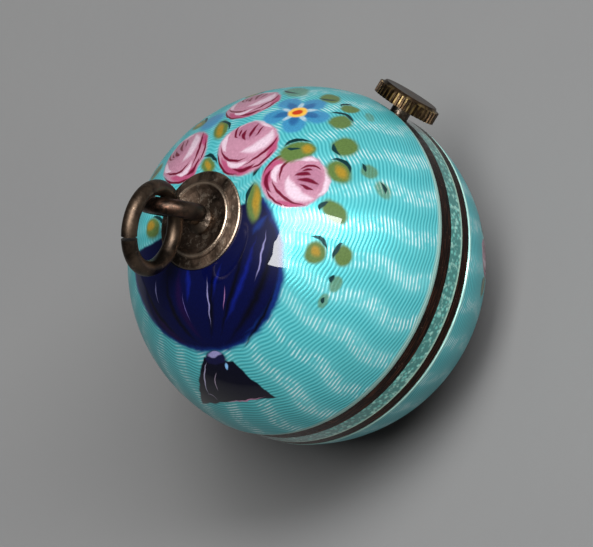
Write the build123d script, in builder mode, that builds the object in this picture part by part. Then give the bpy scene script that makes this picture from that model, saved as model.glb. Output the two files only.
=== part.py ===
from build123d import *
import os
from math import asin, atan2, cos, degrees, pi, radians, sin, sqrt

# An enamelled ball pendant watch: a hinged dome with its pendant, a case middle with the crown, a bezel with
# the crystal, and a small lever movement between them. Millimetres. The origin is the eye of the bow, on the
# ball's axis; +Z runs up that axis and +X out through the crown. Heights named below are measured from the
# ball's centre, which lies EYE_HEIGHT under the origin.

# ---- Ball and case ----
BALL_RADIUS = 12.5
EYE_HEIGHT = 14.5
ENAMEL_THICKNESS = 0.3
SHELL_THICKNESS = 0.7
SHELL_RADIUS = BALL_RADIUS - ENAMEL_THICKNESS
RIM_RADIUS = 12.25
SPLIT_HEIGHT = 0.06
DOME_ENAMEL_EDGE = 0.53
EDGE_ROUNDING = 0.72
DOME_FLAT = 11.45
DOME_SHOULDER = 5.5
CUP_HOLE_RADIUS = 3.2
MIDDLE_ENAMEL_TOP = -0.54
MIDDLE_ENAMEL_BOTTOM = -1.78
MIDDLE_BOTTOM = -2.18
BEZEL_ENAMEL_TOP = -2.55
BEZEL_ENAMEL_BOTTOM = -8.3
BEZEL_LIP_TOP = -7.9
CRYSTAL_RADIUS = 8.4
CRYSTAL_THICKNESS = 0.9
LIP_INNER, LIP_OUTER, LIP_TOP = 10.3, 11.1, 0.9
SPIGOT_RADIUS, SPIGOT_BOTTOM = 10.8, -2.9
LEDGE_RADIUS, LEDGE_BOTTOM, LEDGE_TOP = 9.2, -2.1, -1.72
PLATE_BORE, SHELF_HEIGHT = 9.7, -0.32

# ---- Hinge at the back, +Y ----
HINGE_Y = 12.6
KNUCKLE_RADIUS = 0.6
KNUCKLE_CLEARANCE = 0.08
DOME_KNUCKLE_HALF = 0.9
KNUCKLE_GAP = 0.1
HINGE_HALF = 2.6
HINGE_PIN_RADIUS = 0.25
FIXED_FIT, RUNNING_FIT = 0.01, 0.05

# ---- Pendant: cup, bow and jump ring ----
CUP_RADIUS = 3.5
BOW_WIRE, BOW_RADIUS = 0.59, 1.75
BOW_TURN, BOW_LEAN = 22.6, 8.5
POST_RADIUS, POST_NECK, POST_COLLAR = 0.74, 0.5, 1.0
RING_WIRE, RING_RADIUS = 0.55, 2.76
RING_CENTRE = Vector(-1.58, -0.97, 16.2)
RING_NORMAL = Vector(0.38, -0.908, -0.184)
RING_GAP_TOWARDS = Vector(-0.376, -0.327, 0.867)
RING_GAP_DEGREES = 4.5

# ---- Crown and keyless work, along +X ----
TUBE_RADIUS, TUBE_START, TUBE_END = 0.7, 10.3, 12.9
TUBE_NOTCH = 0.08
STEM_RADIUS, STEM_START = 0.45, 3.6
CROWN_RADIUS, CROWN_START, CROWN_RIM, CROWN_DOME = 2.35, 13.0, 0.85, 0.22
CROWN_TEETH = 40
CROWN_TRAVEL = 0.7
WINDING_PINION = (6.75, 7.45)
WINDING_PINION_RADIUS = 1.2
CLUTCH = (5.5, 6.65)
CLUTCH_RADIUS = 0.95
GROOVE_X, GROOVE_WIDTH = 7.65, 0.3

# ---- Movement levels ----
PLATE_RADIUS = 9.6
PLATE_BOTTOM, PLATE_TOP = -1.7, -0.3
BRIDGE_BOTTOM, BRIDGE_TOP = 1.0, 1.8
WHEEL_TOP_BOTTOM, WHEEL_TOP_TOP = 1.85, 2.1
BRIDGE_EDGE = 9.3
COCK_BOTTOM, COCK_TOP = 1.55, 2.0
DIAL_TOP, DIAL_BOTTOM, DIAL_RADIUS = -2.35, -2.65, 8.3
# Ten past ten, in degrees from twelve o'clock, which faces the crown
HOUR_DIRECTION, MINUTE_DIRECTION = 305, 60

# ---- Movement plan: centres of the wheels ----
BARREL = (1.2, 4.55)
CROWN_WHEEL = (5.0, 0.0)
THIRD = (-3.7, -0.87)
FOURTH = (-4.0, -3.9)
ESCAPE = (-1.65, -5.22)
PALLET = (0.2, -5.26)
BALANCE = (2.45, -5.35)
MINUTE_WHEEL = (-1.2, 2.078)
CLICK_PIVOT = (-3.75, 3.3)
LEVER_PIVOT = (8.15, -2.4)
YOKE_PIVOT = (5.8, -3.0)
BARREL_SCREWS = [(8.2, 2.98), (-5.6, 6.68)]
TRAIN_SCREWS = [(-8.2, -2.98), (-4.36, -7.55)]
COCK_SCREW = (6.6, -5.5)
PALLET_SCREW = (-0.1, -7.9)
CASE_SCREWS = [(4.55, -7.88), (-2.36, 8.79)]

# ---- Gears: tooth counts ----
BARREL_TEETH, CENTER_LEAVES = 72, 12
CENTER_TEETH, THIRD_LEAVES = 64, 8
THIRD_TEETH, FOURTH_LEAVES = 60, 8
FOURTH_TEETH, ESCAPE_LEAVES = 70, 7
ESCAPE_TEETH = 15
CANNON_LEAVES, MINUTE_TEETH = 12, 36
MINUTE_LEAVES, HOUR_TEETH = 10, 40
CROWN_WHEEL_TEETH, RATCHET_TEETH = 22, 36
WINDING_LEAVES = 12

SPIN = Axis((0, 0, 0), (0, 0, 1))
SECTION = Plane(origin=(0, 0, -EYE_HEIGHT), x_dir=(1, 0, 0), z_dir=(0, -1, 0))

os.makedirs("parts", exist_ok=True)


def save(piece, name):
    piece.label = name
    export_step(piece, f"parts/{name}.step")


def level(height, centre=(0, 0)):
    """The horizontal plane at a height above the ball's centre."""
    return Plane(origin=(centre[0], centre[1], height - EYE_HEIGHT))


def across(x):
    """The plane square to the crown's axis at x; its own x runs along +Y and its own y along +Z."""
    return Plane(origin=(x, 0, -EYE_HEIGHT), x_dir=(0, 1, 0), z_dir=(1, 0, 0))


def lowered(point):
    """A point given from the ball's centre, in the frame of the bow's eye."""
    return Vector(point.X, point.Y, point.Z - EYE_HEIGHT)


def turned(outline):
    """A ring or disc turned about the ball's axis from (radius, height) points."""
    with BuildPart() as body:
        with BuildSketch(SECTION):
            with BuildLine():
                Polyline(*outline, close=True)
            make_face()
        revolve(axis=SPIN)
    return body.part


def pillar(radius, bottom, top, centre=(0, 0)):
    """An upright round bar."""
    with BuildPart() as bar:
        with BuildSketch(level(bottom, centre)):
            Circle(radius)
        extrude(amount=top - bottom)
    return bar.part


def rod(radius, start, end):
    """A round bar along the crown's axis."""
    with BuildPart() as bar:
        with BuildSketch(across(start)):
            Circle(radius)
        extrude(amount=end - start)
    return bar.part


def hinge_rod(radius, start, end):
    """A round bar along the hinge's axis."""
    hinge_plane = Plane(origin=(start, HINGE_Y, SPLIT_HEIGHT - EYE_HEIGHT), x_dir=(0, 1, 0), z_dir=(1, 0, 0))
    with BuildPart() as bar:
        with BuildSketch(hinge_plane):
            Circle(radius)
        extrude(amount=end - start)
    return bar.part


def block(x_range, y_range, z_range):
    """A box between two limits along each axis, heights from the ball's centre."""
    centre = ((x_range[0] + x_range[1]) / 2, (y_range[0] + y_range[1]) / 2)
    with BuildPart() as solid:
        with BuildSketch(level(z_range[0], centre)):
            Rectangle(x_range[1] - x_range[0], y_range[1] - y_range[0])
        extrude(amount=z_range[1] - z_range[0])
    return solid.part


def on_sphere(radius, height):
    return (sqrt(radius**2 - height**2), height)


def sphere_arc(radius, start_height, end_height):
    """An arc of the ball's section between two heights."""
    middle = (asin(start_height / radius) + asin(end_height / radius)) / 2
    return ThreePointArc(
        on_sphere(radius, start_height),
        (radius * cos(middle), radius * sin(middle)),
        on_sphere(radius, end_height),
    )


def ball_zone(outer, inner, low, high):
    """The shell between two spheres and two heights."""
    with BuildPart() as zone:
        with BuildSketch(SECTION):
            with BuildLine():
                sphere_arc(outer, low, high)
                Line(on_sphere(outer, high), on_sphere(inner, high))
                sphere_arc(inner, high, low)
                Line(on_sphere(inner, low), on_sphere(outer, low))
            make_face()
        revolve(axis=SPIN)
    return zone.part


def ball_cap(radius, bottom, flat, shoulder):
    """The solid ball above a height, its pole pressed flat and eased into the sphere by a shoulder arc."""
    shoulder_height = flat - shoulder
    shoulder_offset = sqrt((radius - shoulder) ** 2 - shoulder_height**2)
    tangent = atan2(shoulder_height, shoulder_offset)
    half_way = (tangent + pi / 2) / 2
    with BuildPart() as cap:
        with BuildSketch(SECTION):
            with BuildLine():
                sphere_arc(radius, bottom, radius * sin(tangent))
                ThreePointArc(
                    (radius * cos(tangent), radius * sin(tangent)),
                    (shoulder_offset + shoulder * cos(half_way), shoulder_height + shoulder * sin(half_way)),
                    (shoulder_offset, flat),
                )
                Line((shoulder_offset, flat), (0, flat))
                Line((0, flat), (0, bottom))
                Line((0, bottom), on_sphere(radius, bottom))
            make_face()
        revolve(axis=SPIN)
    return cap.part


def bearing(start, end):
    """The direction in degrees from one wheel's centre to another's."""
    return degrees(atan2(end[1] - start[1], end[0] - start[0]))


def pitch_radii(start, end, first_teeth, second_teeth):
    """The two pitch radii that share the distance between two centres."""
    distance = sqrt((end[0] - start[0]) ** 2 + (end[1] - start[1]) ** 2)
    module = distance / (first_teeth + second_teeth)
    return module * first_teeth, module * second_teeth


def gear(pitch_radius, teeth, bottom, top, centre, tooth_at, between=False):
    """A spur gear with a tooth, or a gap, pointing in the direction tooth_at."""
    pitch = 2 * pi / teeth
    depth = pitch_radius * pitch * 0.28
    tip, root = pitch_radius + depth, pitch_radius - depth * 1.3
    first = radians(tooth_at) + (pitch / 2 if between else 0)
    outline = []
    for tooth in range(teeth):
        middle = first + tooth * pitch
        for radius, shift in ((root, -0.20), (tip, -0.07), (tip, 0.07), (root, 0.20)):
            angle = middle + shift * pitch
            outline.append((radius * cos(angle), radius * sin(angle)))
    with BuildPart() as wheel:
        with BuildSketch(level(bottom, centre)):
            with BuildLine():
                Polyline(*outline, close=True)
            make_face()
        extrude(amount=top - bottom)
    return wheel.part


def spoke_windows(inner, outer, count, bottom, top, centre, spoke_width=0.28):
    """The openings between a wheel's spokes."""
    with BuildPart() as windows:
        with BuildSketch(level(bottom, centre)):
            Circle(outer)
            Circle(inner, mode=Mode.SUBTRACT)
            with PolarLocations(0, count):
                Rectangle(outer * 1.1, spoke_width, align=(Align.MIN, Align.CENTER), mode=Mode.SUBTRACT)
        extrude(amount=top - bottom)
    return windows.part


def spiral_spring(inner, outer, turns, thickness, bottom, top, centre):
    """A flat strip wound in a spiral."""
    steps = int(turns * 24)
    outside, inside = [], []
    for step in range(steps + 1):
        angle = 2 * pi * turns * step / steps
        radius = inner + (outer - inner) * step / steps
        outside.append(((radius + thickness / 2) * cos(angle), (radius + thickness / 2) * sin(angle)))
        inside.append(((radius - thickness / 2) * cos(angle), (radius - thickness / 2) * sin(angle)))
    with BuildPart() as spring:
        with BuildSketch(level(bottom, centre)):
            with BuildLine():
                Polyline(*outside, *reversed(inside), close=True)
            make_face()
        extrude(amount=top - bottom)
    return spring.part


def cheese_screws(centres, head_radius, shank_radius, seat, head_top, shank_end):
    """Slotted screws sharing one seat height."""
    slot_width, slot_depth = 0.16, 0.12
    with BuildPart() as screws:
        with BuildSketch(level(shank_end)):
            with Locations(*centres):
                Circle(shank_radius)
        extrude(amount=seat - shank_end)
        with BuildSketch(level(seat)):
            with Locations(*centres):
                Circle(head_radius)
        extrude(amount=head_top - seat)
        with BuildSketch(level(head_top - slot_depth)):
            with Locations(*centres):
                Rectangle(head_radius * 2.2, slot_width)
        extrude(amount=slot_depth, mode=Mode.SUBTRACT)
    return screws.part


# ==== Dome ====
def dome_knuckle():
    """The dome's knuckle with its web, before the pin hole."""
    web = block((-DOME_KNUCKLE_HALF, DOME_KNUCKLE_HALF), (11.95, HINGE_Y), (SPLIT_HEIGHT, SPLIT_HEIGHT + 0.45))
    return hinge_rod(KNUCKLE_RADIUS, -DOME_KNUCKLE_HALF, DOME_KNUCKLE_HALF) + web


def hinge_space(start, end):
    return hinge_rod(KNUCKLE_RADIUS + KNUCKLE_CLEARANCE, start, end)


inner_start = DOME_KNUCKLE_HALF + KNUCKLE_GAP
shell_flat = DOME_FLAT - ENAMEL_THICKNESS
shell_shoulder = DOME_SHOULDER - ENAMEL_THICKNESS
cavity_radius = SHELL_RADIUS - SHELL_THICKNESS
cavity_flat = shell_flat - SHELL_THICKNESS
tube_space = rod(TUBE_RADIUS + TUBE_NOTCH, TUBE_START, TUBE_END)

with BuildPart() as dome_shell:
    add(ball_cap(SHELL_RADIUS, SPLIT_HEIGHT, shell_flat, shell_shoulder))
    add(turned([(RIM_RADIUS, SPLIT_HEIGHT), (RIM_RADIUS, DOME_ENAMEL_EDGE), (12.0, DOME_ENAMEL_EDGE),
                (12.0, SPLIT_HEIGHT)]))
    add(hinge_space(inner_start - KNUCKLE_GAP, HINGE_HALF + KNUCKLE_GAP), mode=Mode.SUBTRACT)
    add(hinge_space(-HINGE_HALF - KNUCKLE_GAP, KNUCKLE_GAP - inner_start), mode=Mode.SUBTRACT)
    add(dome_knuckle())
    add(ball_cap(cavity_radius, SPLIT_HEIGHT - 0.02, cavity_flat, shell_shoulder - SHELL_THICKNESS),
        mode=Mode.SUBTRACT)
    add(hinge_rod(HINGE_PIN_RADIUS + RUNNING_FIT, -HINGE_HALF, HINGE_HALF), mode=Mode.SUBTRACT)
    add(tube_space, mode=Mode.SUBTRACT)
    add(pillar(0.8, cavity_flat - 1, shell_flat + 1), mode=Mode.SUBTRACT)
save(dome_shell.part, "dome_shell")

with BuildPart() as dome_enamel:
    add(ball_cap(BALL_RADIUS, DOME_ENAMEL_EDGE, DOME_FLAT, DOME_SHOULDER))
    add(ball_cap(SHELL_RADIUS, DOME_ENAMEL_EDGE - 0.02, shell_flat, shell_shoulder), mode=Mode.SUBTRACT)
    with BuildSketch(SECTION):
        with BuildLine():
            ThreePointArc((RIM_RADIUS, DOME_ENAMEL_EDGE), (12.38, DOME_ENAMEL_EDGE + EDGE_ROUNDING * 0.4),
                          on_sphere(BALL_RADIUS, DOME_ENAMEL_EDGE + EDGE_ROUNDING))
            Line(on_sphere(BALL_RADIUS, DOME_ENAMEL_EDGE + EDGE_ROUNDING), (13, DOME_ENAMEL_EDGE + EDGE_ROUNDING))
            Line((13, DOME_ENAMEL_EDGE + EDGE_ROUNDING), (13, DOME_ENAMEL_EDGE))
            Line((13, DOME_ENAMEL_EDGE), (RIM_RADIUS, DOME_ENAMEL_EDGE))
        make_face()
    revolve(axis=SPIN, mode=Mode.SUBTRACT)
    add(pillar(CUP_HOLE_RADIUS, 10, 13), mode=Mode.SUBTRACT)
    add(tube_space, mode=Mode.SUBTRACT)
    add(hinge_space(-HINGE_HALF - KNUCKLE_GAP, HINGE_HALF + KNUCKLE_GAP), mode=Mode.SUBTRACT)
save(dome_enamel.part, "dome_enamel")

# ==== Pendant ====
bow_direction = Vector(cos(radians(BOW_TURN)), sin(radians(BOW_TURN)), 0) * cos(radians(BOW_LEAN))
bow_direction = bow_direction + Vector(0, 0, sin(radians(BOW_LEAN)))

with BuildPart() as bow_loop:
    with BuildLine(Plane(origin=(0, 0, 0), z_dir=bow_direction)) as bow_path:
        CenterArc((0, 0), BOW_RADIUS, 0, 360)
    with BuildSketch(Plane(origin=bow_path.line @ 0, z_dir=bow_path.line % 0)):
        Circle(BOW_WIRE)
    sweep()
save(bow_loop.part, "bow_loop")

# A low flange with two raised rings about a shallow dish.
cup_outline = [
    (0.75, shell_flat), (3.15, shell_flat), (3.15, DOME_FLAT + 0.01), (CUP_RADIUS, DOME_FLAT + 0.01),
    (CUP_RADIUS, DOME_FLAT + 0.12), (3.42, DOME_FLAT + 0.18), (2.86, DOME_FLAT + 0.3), (2.8, DOME_FLAT + 0.4),
    (2.72, DOME_FLAT + 0.43), (2.64, DOME_FLAT + 0.36), (2.56, DOME_FLAT + 0.36), (2.48, DOME_FLAT + 0.42),
    (2.4, DOME_FLAT + 0.38), (2.2, DOME_FLAT + 0.2), (1.9, DOME_FLAT + 0.08), (1.5, DOME_FLAT + 0.02),
    (0.75, DOME_FLAT),
]
with BuildPart() as pendant_cup:
    add(turned(cup_outline))
save(pendant_cup.part, "pendant_cup")

# A post riveted through the cup and the dome, with its nut inside the dome.
with BuildPart() as bow_post:
    add(pillar(POST_RADIUS, cavity_flat - 0.75, DOME_FLAT + 0.25))
    add(turned([(0, DOME_FLAT + 0.03), (POST_COLLAR, DOME_FLAT + 0.03), (POST_COLLAR, DOME_FLAT + 0.25),
                (POST_NECK, DOME_FLAT + 0.6), (POST_NECK, -BOW_RADIUS + EYE_HEIGHT), (0, -BOW_RADIUS + EYE_HEIGHT)]))
    add(bow_loop.part, mode=Mode.SUBTRACT)
save(bow_post.part, "bow_post")

with BuildPart() as bow_nut:
    with BuildSketch(level(cavity_flat - 0.55)):
        RegularPolygon(1.5, 6)
        Circle(0.75, mode=Mode.SUBTRACT)
    extrude(amount=0.55)
save(bow_nut.part, "bow_nut")

ring_direction = RING_NORMAL.normalized()
gap_side = RING_GAP_TOWARDS - ring_direction * RING_GAP_TOWARDS.dot(ring_direction)
ring_plane = Plane(origin=lowered(RING_CENTRE), x_dir=gap_side, z_dir=ring_direction)
with BuildPart() as jump_ring:
    with BuildLine(ring_plane) as ring_path:
        CenterArc((0, 0), RING_RADIUS, RING_GAP_DEGREES / 2, 360 - RING_GAP_DEGREES)
    with BuildSketch(Plane(origin=ring_path.line @ 0, z_dir=ring_path.line % 0)):
        Circle(RING_WIRE)
    sweep()
save(jump_ring.part, "jump_ring")

# ==== Case middle ====
middle_outline = [
    (RIM_RADIUS, SPLIT_HEIGHT), (RIM_RADIUS, MIDDLE_ENAMEL_TOP), (RIM_RADIUS - ENAMEL_THICKNESS, MIDDLE_ENAMEL_TOP),
    (RIM_RADIUS - ENAMEL_THICKNESS, MIDDLE_ENAMEL_BOTTOM), (RIM_RADIUS - 0.04, MIDDLE_ENAMEL_BOTTOM),
    (RIM_RADIUS - 0.04, MIDDLE_BOTTOM), (SPIGOT_RADIUS, MIDDLE_BOTTOM), (SPIGOT_RADIUS, SPIGOT_BOTTOM),
    (LIP_INNER, SPIGOT_BOTTOM), (LIP_INNER, LEDGE_BOTTOM), (LEDGE_RADIUS, LEDGE_BOTTOM), (LEDGE_RADIUS, LEDGE_TOP),
    (PLATE_BORE, LEDGE_TOP), (PLATE_BORE, SHELF_HEIGHT), (LIP_INNER, SHELF_HEIGHT), (LIP_INNER, LIP_TOP),
    (LIP_OUTER - 0.15, LIP_TOP), (LIP_OUTER, LIP_TOP - 0.3), (LIP_OUTER, SPLIT_HEIGHT),
]

with BuildPart() as case_middle:
    add(turned(middle_outline))
    add(hinge_space(-inner_start, inner_start), mode=Mode.SUBTRACT)
    for side in (-1, 1):
        ends = sorted((side * inner_start, side * HINGE_HALF))
        add(hinge_rod(KNUCKLE_RADIUS, *ends))
        add(block(ends, (11.95, HINGE_Y), (SPLIT_HEIGHT - 0.55, SPLIT_HEIGHT)))
    add(hinge_rod(HINGE_PIN_RADIUS + FIXED_FIT, -HINGE_HALF, HINGE_HALF), mode=Mode.SUBTRACT)
    add(rod(TUBE_RADIUS, LEDGE_RADIUS, RIM_RADIUS + 1), mode=Mode.SUBTRACT)
save(case_middle.part, "case_middle")

with BuildPart() as middle_enamel:
    add(turned([(RIM_RADIUS - ENAMEL_THICKNESS, MIDDLE_ENAMEL_TOP), (RIM_RADIUS, MIDDLE_ENAMEL_TOP),
                (RIM_RADIUS, MIDDLE_ENAMEL_BOTTOM), (RIM_RADIUS - ENAMEL_THICKNESS, MIDDLE_ENAMEL_BOTTOM)]))
    add(tube_space, mode=Mode.SUBTRACT)
save(middle_enamel.part, "middle_enamel")
save(hinge_rod(HINGE_PIN_RADIUS, -HINGE_HALF, HINGE_HALF), "hinge_pin")

# ==== Bezel, crystal and rehaut ====
with BuildPart() as bezel_shell:
    add(ball_zone(SHELL_RADIUS, SHELL_RADIUS - SHELL_THICKNESS, BEZEL_LIP_TOP, MIDDLE_BOTTOM))
    add(turned([(RIM_RADIUS - 0.04, MIDDLE_BOTTOM), (RIM_RADIUS - 0.04, BEZEL_ENAMEL_TOP),
                (11.6, BEZEL_ENAMEL_TOP), (11.6, MIDDLE_BOTTOM)]))
    with BuildSketch(SECTION):
        with BuildLine():
            crystal_edge = (CRYSTAL_RADIUS, -sqrt(BALL_RADIUS**2 - CRYSTAL_RADIUS**2))
            sphere_arc(BALL_RADIUS, BEZEL_ENAMEL_BOTTOM, crystal_edge[1])
            Line(crystal_edge, (CRYSTAL_RADIUS, BEZEL_LIP_TOP))
            Line((CRYSTAL_RADIUS, BEZEL_LIP_TOP), on_sphere(SHELL_RADIUS, BEZEL_LIP_TOP))
            Line(on_sphere(SHELL_RADIUS, BEZEL_LIP_TOP), on_sphere(SHELL_RADIUS, BEZEL_ENAMEL_BOTTOM))
            Line(on_sphere(SHELL_RADIUS, BEZEL_ENAMEL_BOTTOM), on_sphere(BALL_RADIUS, BEZEL_ENAMEL_BOTTOM))
        make_face()
    revolve(axis=SPIN)
save(bezel_shell.part, "bezel_shell")

with BuildPart() as bezel_enamel:
    add(ball_zone(BALL_RADIUS, SHELL_RADIUS, BEZEL_ENAMEL_BOTTOM, BEZEL_ENAMEL_TOP))
    chamfer(bezel_enamel.edges().filter_by(GeomType.CIRCLE).group_by(Axis.Z)[-1].sort_by(SortBy.RADIUS)[-1], 0.2)
save(bezel_enamel.part, "bezel_enamel")

crystal_inside = BALL_RADIUS - CRYSTAL_THICKNESS
with BuildPart() as crystal:
    with BuildSketch(SECTION):
        with BuildLine():
            crystal_rim = CRYSTAL_RADIUS - 0.02
            outer_edge = (crystal_rim, -sqrt(BALL_RADIUS**2 - crystal_rim**2))
            inner_edge = (crystal_rim, -sqrt(crystal_inside**2 - crystal_rim**2))
            half_outer = -radians(90) + asin(crystal_rim / BALL_RADIUS) / 2
            half_inner = -radians(90) + asin(crystal_rim / crystal_inside) / 2
            ThreePointArc((0, -BALL_RADIUS), (BALL_RADIUS * cos(half_outer), BALL_RADIUS * sin(half_outer)),
                          outer_edge)
            Line(outer_edge, inner_edge)
            ThreePointArc(inner_edge, (crystal_inside * cos(half_inner), crystal_inside * sin(half_inner)),
                          (0, -crystal_inside))
            Line((0, -crystal_inside), (0, -BALL_RADIUS))
        make_face()
    revolve(axis=SPIN)
save(crystal.part, "crystal")

rehaut_inner, rehaut_outer = 8.0, 8.3
save(turned([(rehaut_inner, BEZEL_LIP_TOP), (rehaut_outer, BEZEL_LIP_TOP), (rehaut_outer, -2.95), (9.15, -2.95),
             (9.15, -2.7), (rehaut_inner, -2.7)]), "rehaut_ring")

# ==== Crown, stem and keyless work ====
with BuildPart() as crown_tube:
    add(rod(TUBE_RADIUS, TUBE_START, TUBE_END))
    add(rod(STEM_RADIUS + RUNNING_FIT, TUBE_START, TUBE_END), mode=Mode.SUBTRACT)
save(crown_tube.part, "crown_tube")

crown_outline = []
for tooth in range(CROWN_TEETH):
    for radius, shift in ((CROWN_RADIUS - 0.16, -0.35), (CROWN_RADIUS, -0.16), (CROWN_RADIUS, 0.16),
                          (CROWN_RADIUS - 0.16, 0.35)):
        angle = 2 * pi * (tooth + shift) / CROWN_TEETH
        crown_outline.append((radius * cos(angle), radius * sin(angle)))

with BuildPart() as crown:
    with BuildSketch(across(CROWN_START)):
        with BuildLine():
            Polyline(*crown_outline, close=True)
        make_face()
    extrude(amount=CROWN_RIM)
    with BuildSketch(across(CROWN_START + CROWN_RIM)):
        Circle(CROWN_RADIUS - 0.18)
    extrude(amount=CROWN_DOME, taper=35)
    add(rod(STEM_RADIUS, CROWN_START - 1, CROWN_START + CROWN_RIM / 2), mode=Mode.SUBTRACT)
save(crown.part, "crown")

with BuildPart() as winding_stem:
    add(rod(STEM_RADIUS, WINDING_PINION[0], CROWN_START + CROWN_RIM / 2))
    add(rod(0.3, STEM_START, 4.6))
    with BuildSketch(across(4.6)):
        Rectangle(0.62, 0.62)
    extrude(amount=WINDING_PINION[0] - 4.6)
    with BuildSketch(across(GROOVE_X)):
        Circle(STEM_RADIUS)
        Circle(0.28, mode=Mode.SUBTRACT)
    extrude(amount=GROOVE_WIDTH, mode=Mode.SUBTRACT)
save(winding_stem.part, "winding_stem")


def castle_pinion(x_range, radius, bore, leaves):
    """A toothed sleeve on the stem."""
    leaf_depth = 0.22
    points = []
    for leaf in range(leaves):
        for leaf_radius, shift in ((radius - leaf_depth, -0.3), (radius, -0.14), (radius, 0.14),
                                   (radius - leaf_depth, 0.3)):
            angle = 2 * pi * (leaf + shift) / leaves
            points.append((leaf_radius * cos(angle), leaf_radius * sin(angle)))
    with BuildPart() as pinion:
        with BuildSketch(across(x_range[0])):
            with BuildLine():
                Polyline(*points, close=True)
            make_face()
            Circle(bore, mode=Mode.SUBTRACT)
        extrude(amount=x_range[1] - x_range[0])
    return pinion.part


save(castle_pinion(WINDING_PINION, WINDING_PINION_RADIUS, STEM_RADIUS + RUNNING_FIT, WINDING_LEAVES),
     "winding_pinion")

clutch_groove = (CLUTCH[0] + 0.45, CLUTCH[0] + 0.75)
with BuildPart() as sliding_clutch:
    add(castle_pinion(CLUTCH, CLUTCH_RADIUS, 0.01, WINDING_LEAVES))
    with BuildSketch(across(CLUTCH[0])):
        Rectangle(0.72, 0.72)
    extrude(amount=CLUTCH[1] - CLUTCH[0], mode=Mode.SUBTRACT)
    with BuildSketch(across(clutch_groove[0])):
        Circle(CLUTCH_RADIUS)
        Circle(0.62, mode=Mode.SUBTRACT)
    extrude(amount=clutch_groove[1] - clutch_groove[0], mode=Mode.SUBTRACT)
save(sliding_clutch.part, "sliding_clutch")


def finger_lever(pivot, tip, bottom, top, tip_width, hub_radius=0.55, hole=0.22):
    """A flat lever from its pivot to a finger."""
    length = sqrt((tip[0] - pivot[0]) ** 2 + (tip[1] - pivot[1]) ** 2)
    lever_plane = Plane(
        origin=(pivot[0], pivot[1], bottom - EYE_HEIGHT),
        x_dir=(tip[0] - pivot[0], tip[1] - pivot[1], 0),
        z_dir=(0, 0, 1),
    )
    with BuildPart() as lever:
        with BuildSketch(lever_plane):
            Circle(hub_radius)
            with BuildLine():
                Polyline((0, -hub_radius * 0.7), (length, -tip_width / 2), (length, tip_width / 2),
                         (0, hub_radius * 0.7), close=True)
            make_face()
            Circle(hole, mode=Mode.SUBTRACT)
        extrude(amount=top - bottom)
    return lever.part


lever_pin = 0.2
groove_middle = GROOVE_X + GROOVE_WIDTH / 2
clutch_middle = (clutch_groove[0] + clutch_groove[1]) / 2
save(finger_lever(LEVER_PIVOT, (groove_middle, -0.36), -0.12, 0.12, 0.14), "setting_lever")
save(finger_lever(YOKE_PIVOT, (clutch_middle, -0.7), -0.12, 0.12, 0.14), "yoke")

# ==== Plates and bridges ====
with BuildPart() as mainplate:
    add(pillar(PLATE_RADIUS, PLATE_BOTTOM, PLATE_TOP))
    add(block((4.7, 7.7), (-1.3, 1.3), (-1.4, PLATE_TOP)), mode=Mode.SUBTRACT)
    add(rod(STEM_RADIUS + RUNNING_FIT, 7.6, PLATE_RADIUS + 1), mode=Mode.SUBTRACT)
    add(rod(0.35, STEM_START - 0.1, 4.8), mode=Mode.SUBTRACT)
    add(pillar(0.36, PLATE_BOTTOM - 1, PLATE_TOP + 1), mode=Mode.SUBTRACT)
    add(pillar(0.6, -0.95, PLATE_TOP + 1, BARREL), mode=Mode.SUBTRACT)
    for pivot in (THIRD, FOURTH, ESCAPE, PALLET, BALANCE):
        add(pillar(0.17, -0.95, PLATE_TOP + 1, pivot), mode=Mode.SUBTRACT)
    for centre in BARREL_SCREWS + TRAIN_SCREWS + [COCK_SCREW, PALLET_SCREW]:
        add(pillar(0.3, -1.25, PLATE_TOP + 1, centre), mode=Mode.SUBTRACT)
    for centre in CASE_SCREWS:
        add(pillar(0.3, -1.25, PLATE_TOP + 1, centre), mode=Mode.SUBTRACT)
    for pivot in (LEVER_PIVOT, YOKE_PIVOT):
        add(pillar(lever_pin, PLATE_TOP, 0.2, pivot))
    add(pillar(0.2, -2.28, PLATE_BOTTOM, MINUTE_WHEEL))
save(mainplate.part, "mainplate")


def bridge_plate(corners, clear_radius):
    """A flat bridge: part of a disc, cut back around the balance."""
    with BuildPart() as plate:
        with BuildSketch(level(BRIDGE_BOTTOM)):
            with BuildLine():
                Polyline(*corners, close=True)
            make_face()
            Circle(BRIDGE_EDGE, mode=Mode.INTERSECT)
            with Locations(BALANCE):
                Circle(clear_radius, mode=Mode.SUBTRACT)
        extrude(amount=BRIDGE_TOP - BRIDGE_BOTTOM)
    return plate.part


def feet(centres, radius, top=BRIDGE_BOTTOM):
    """Round feet under a bridge, cut to its edge."""
    with BuildPart() as posts:
        with BuildSketch(level(PLATE_TOP)):
            with Locations(*centres):
                Circle(radius)
            Circle(BRIDGE_EDGE, mode=Mode.INTERSECT)
        extrude(amount=top - PLATE_TOP)
    return posts.part


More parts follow.
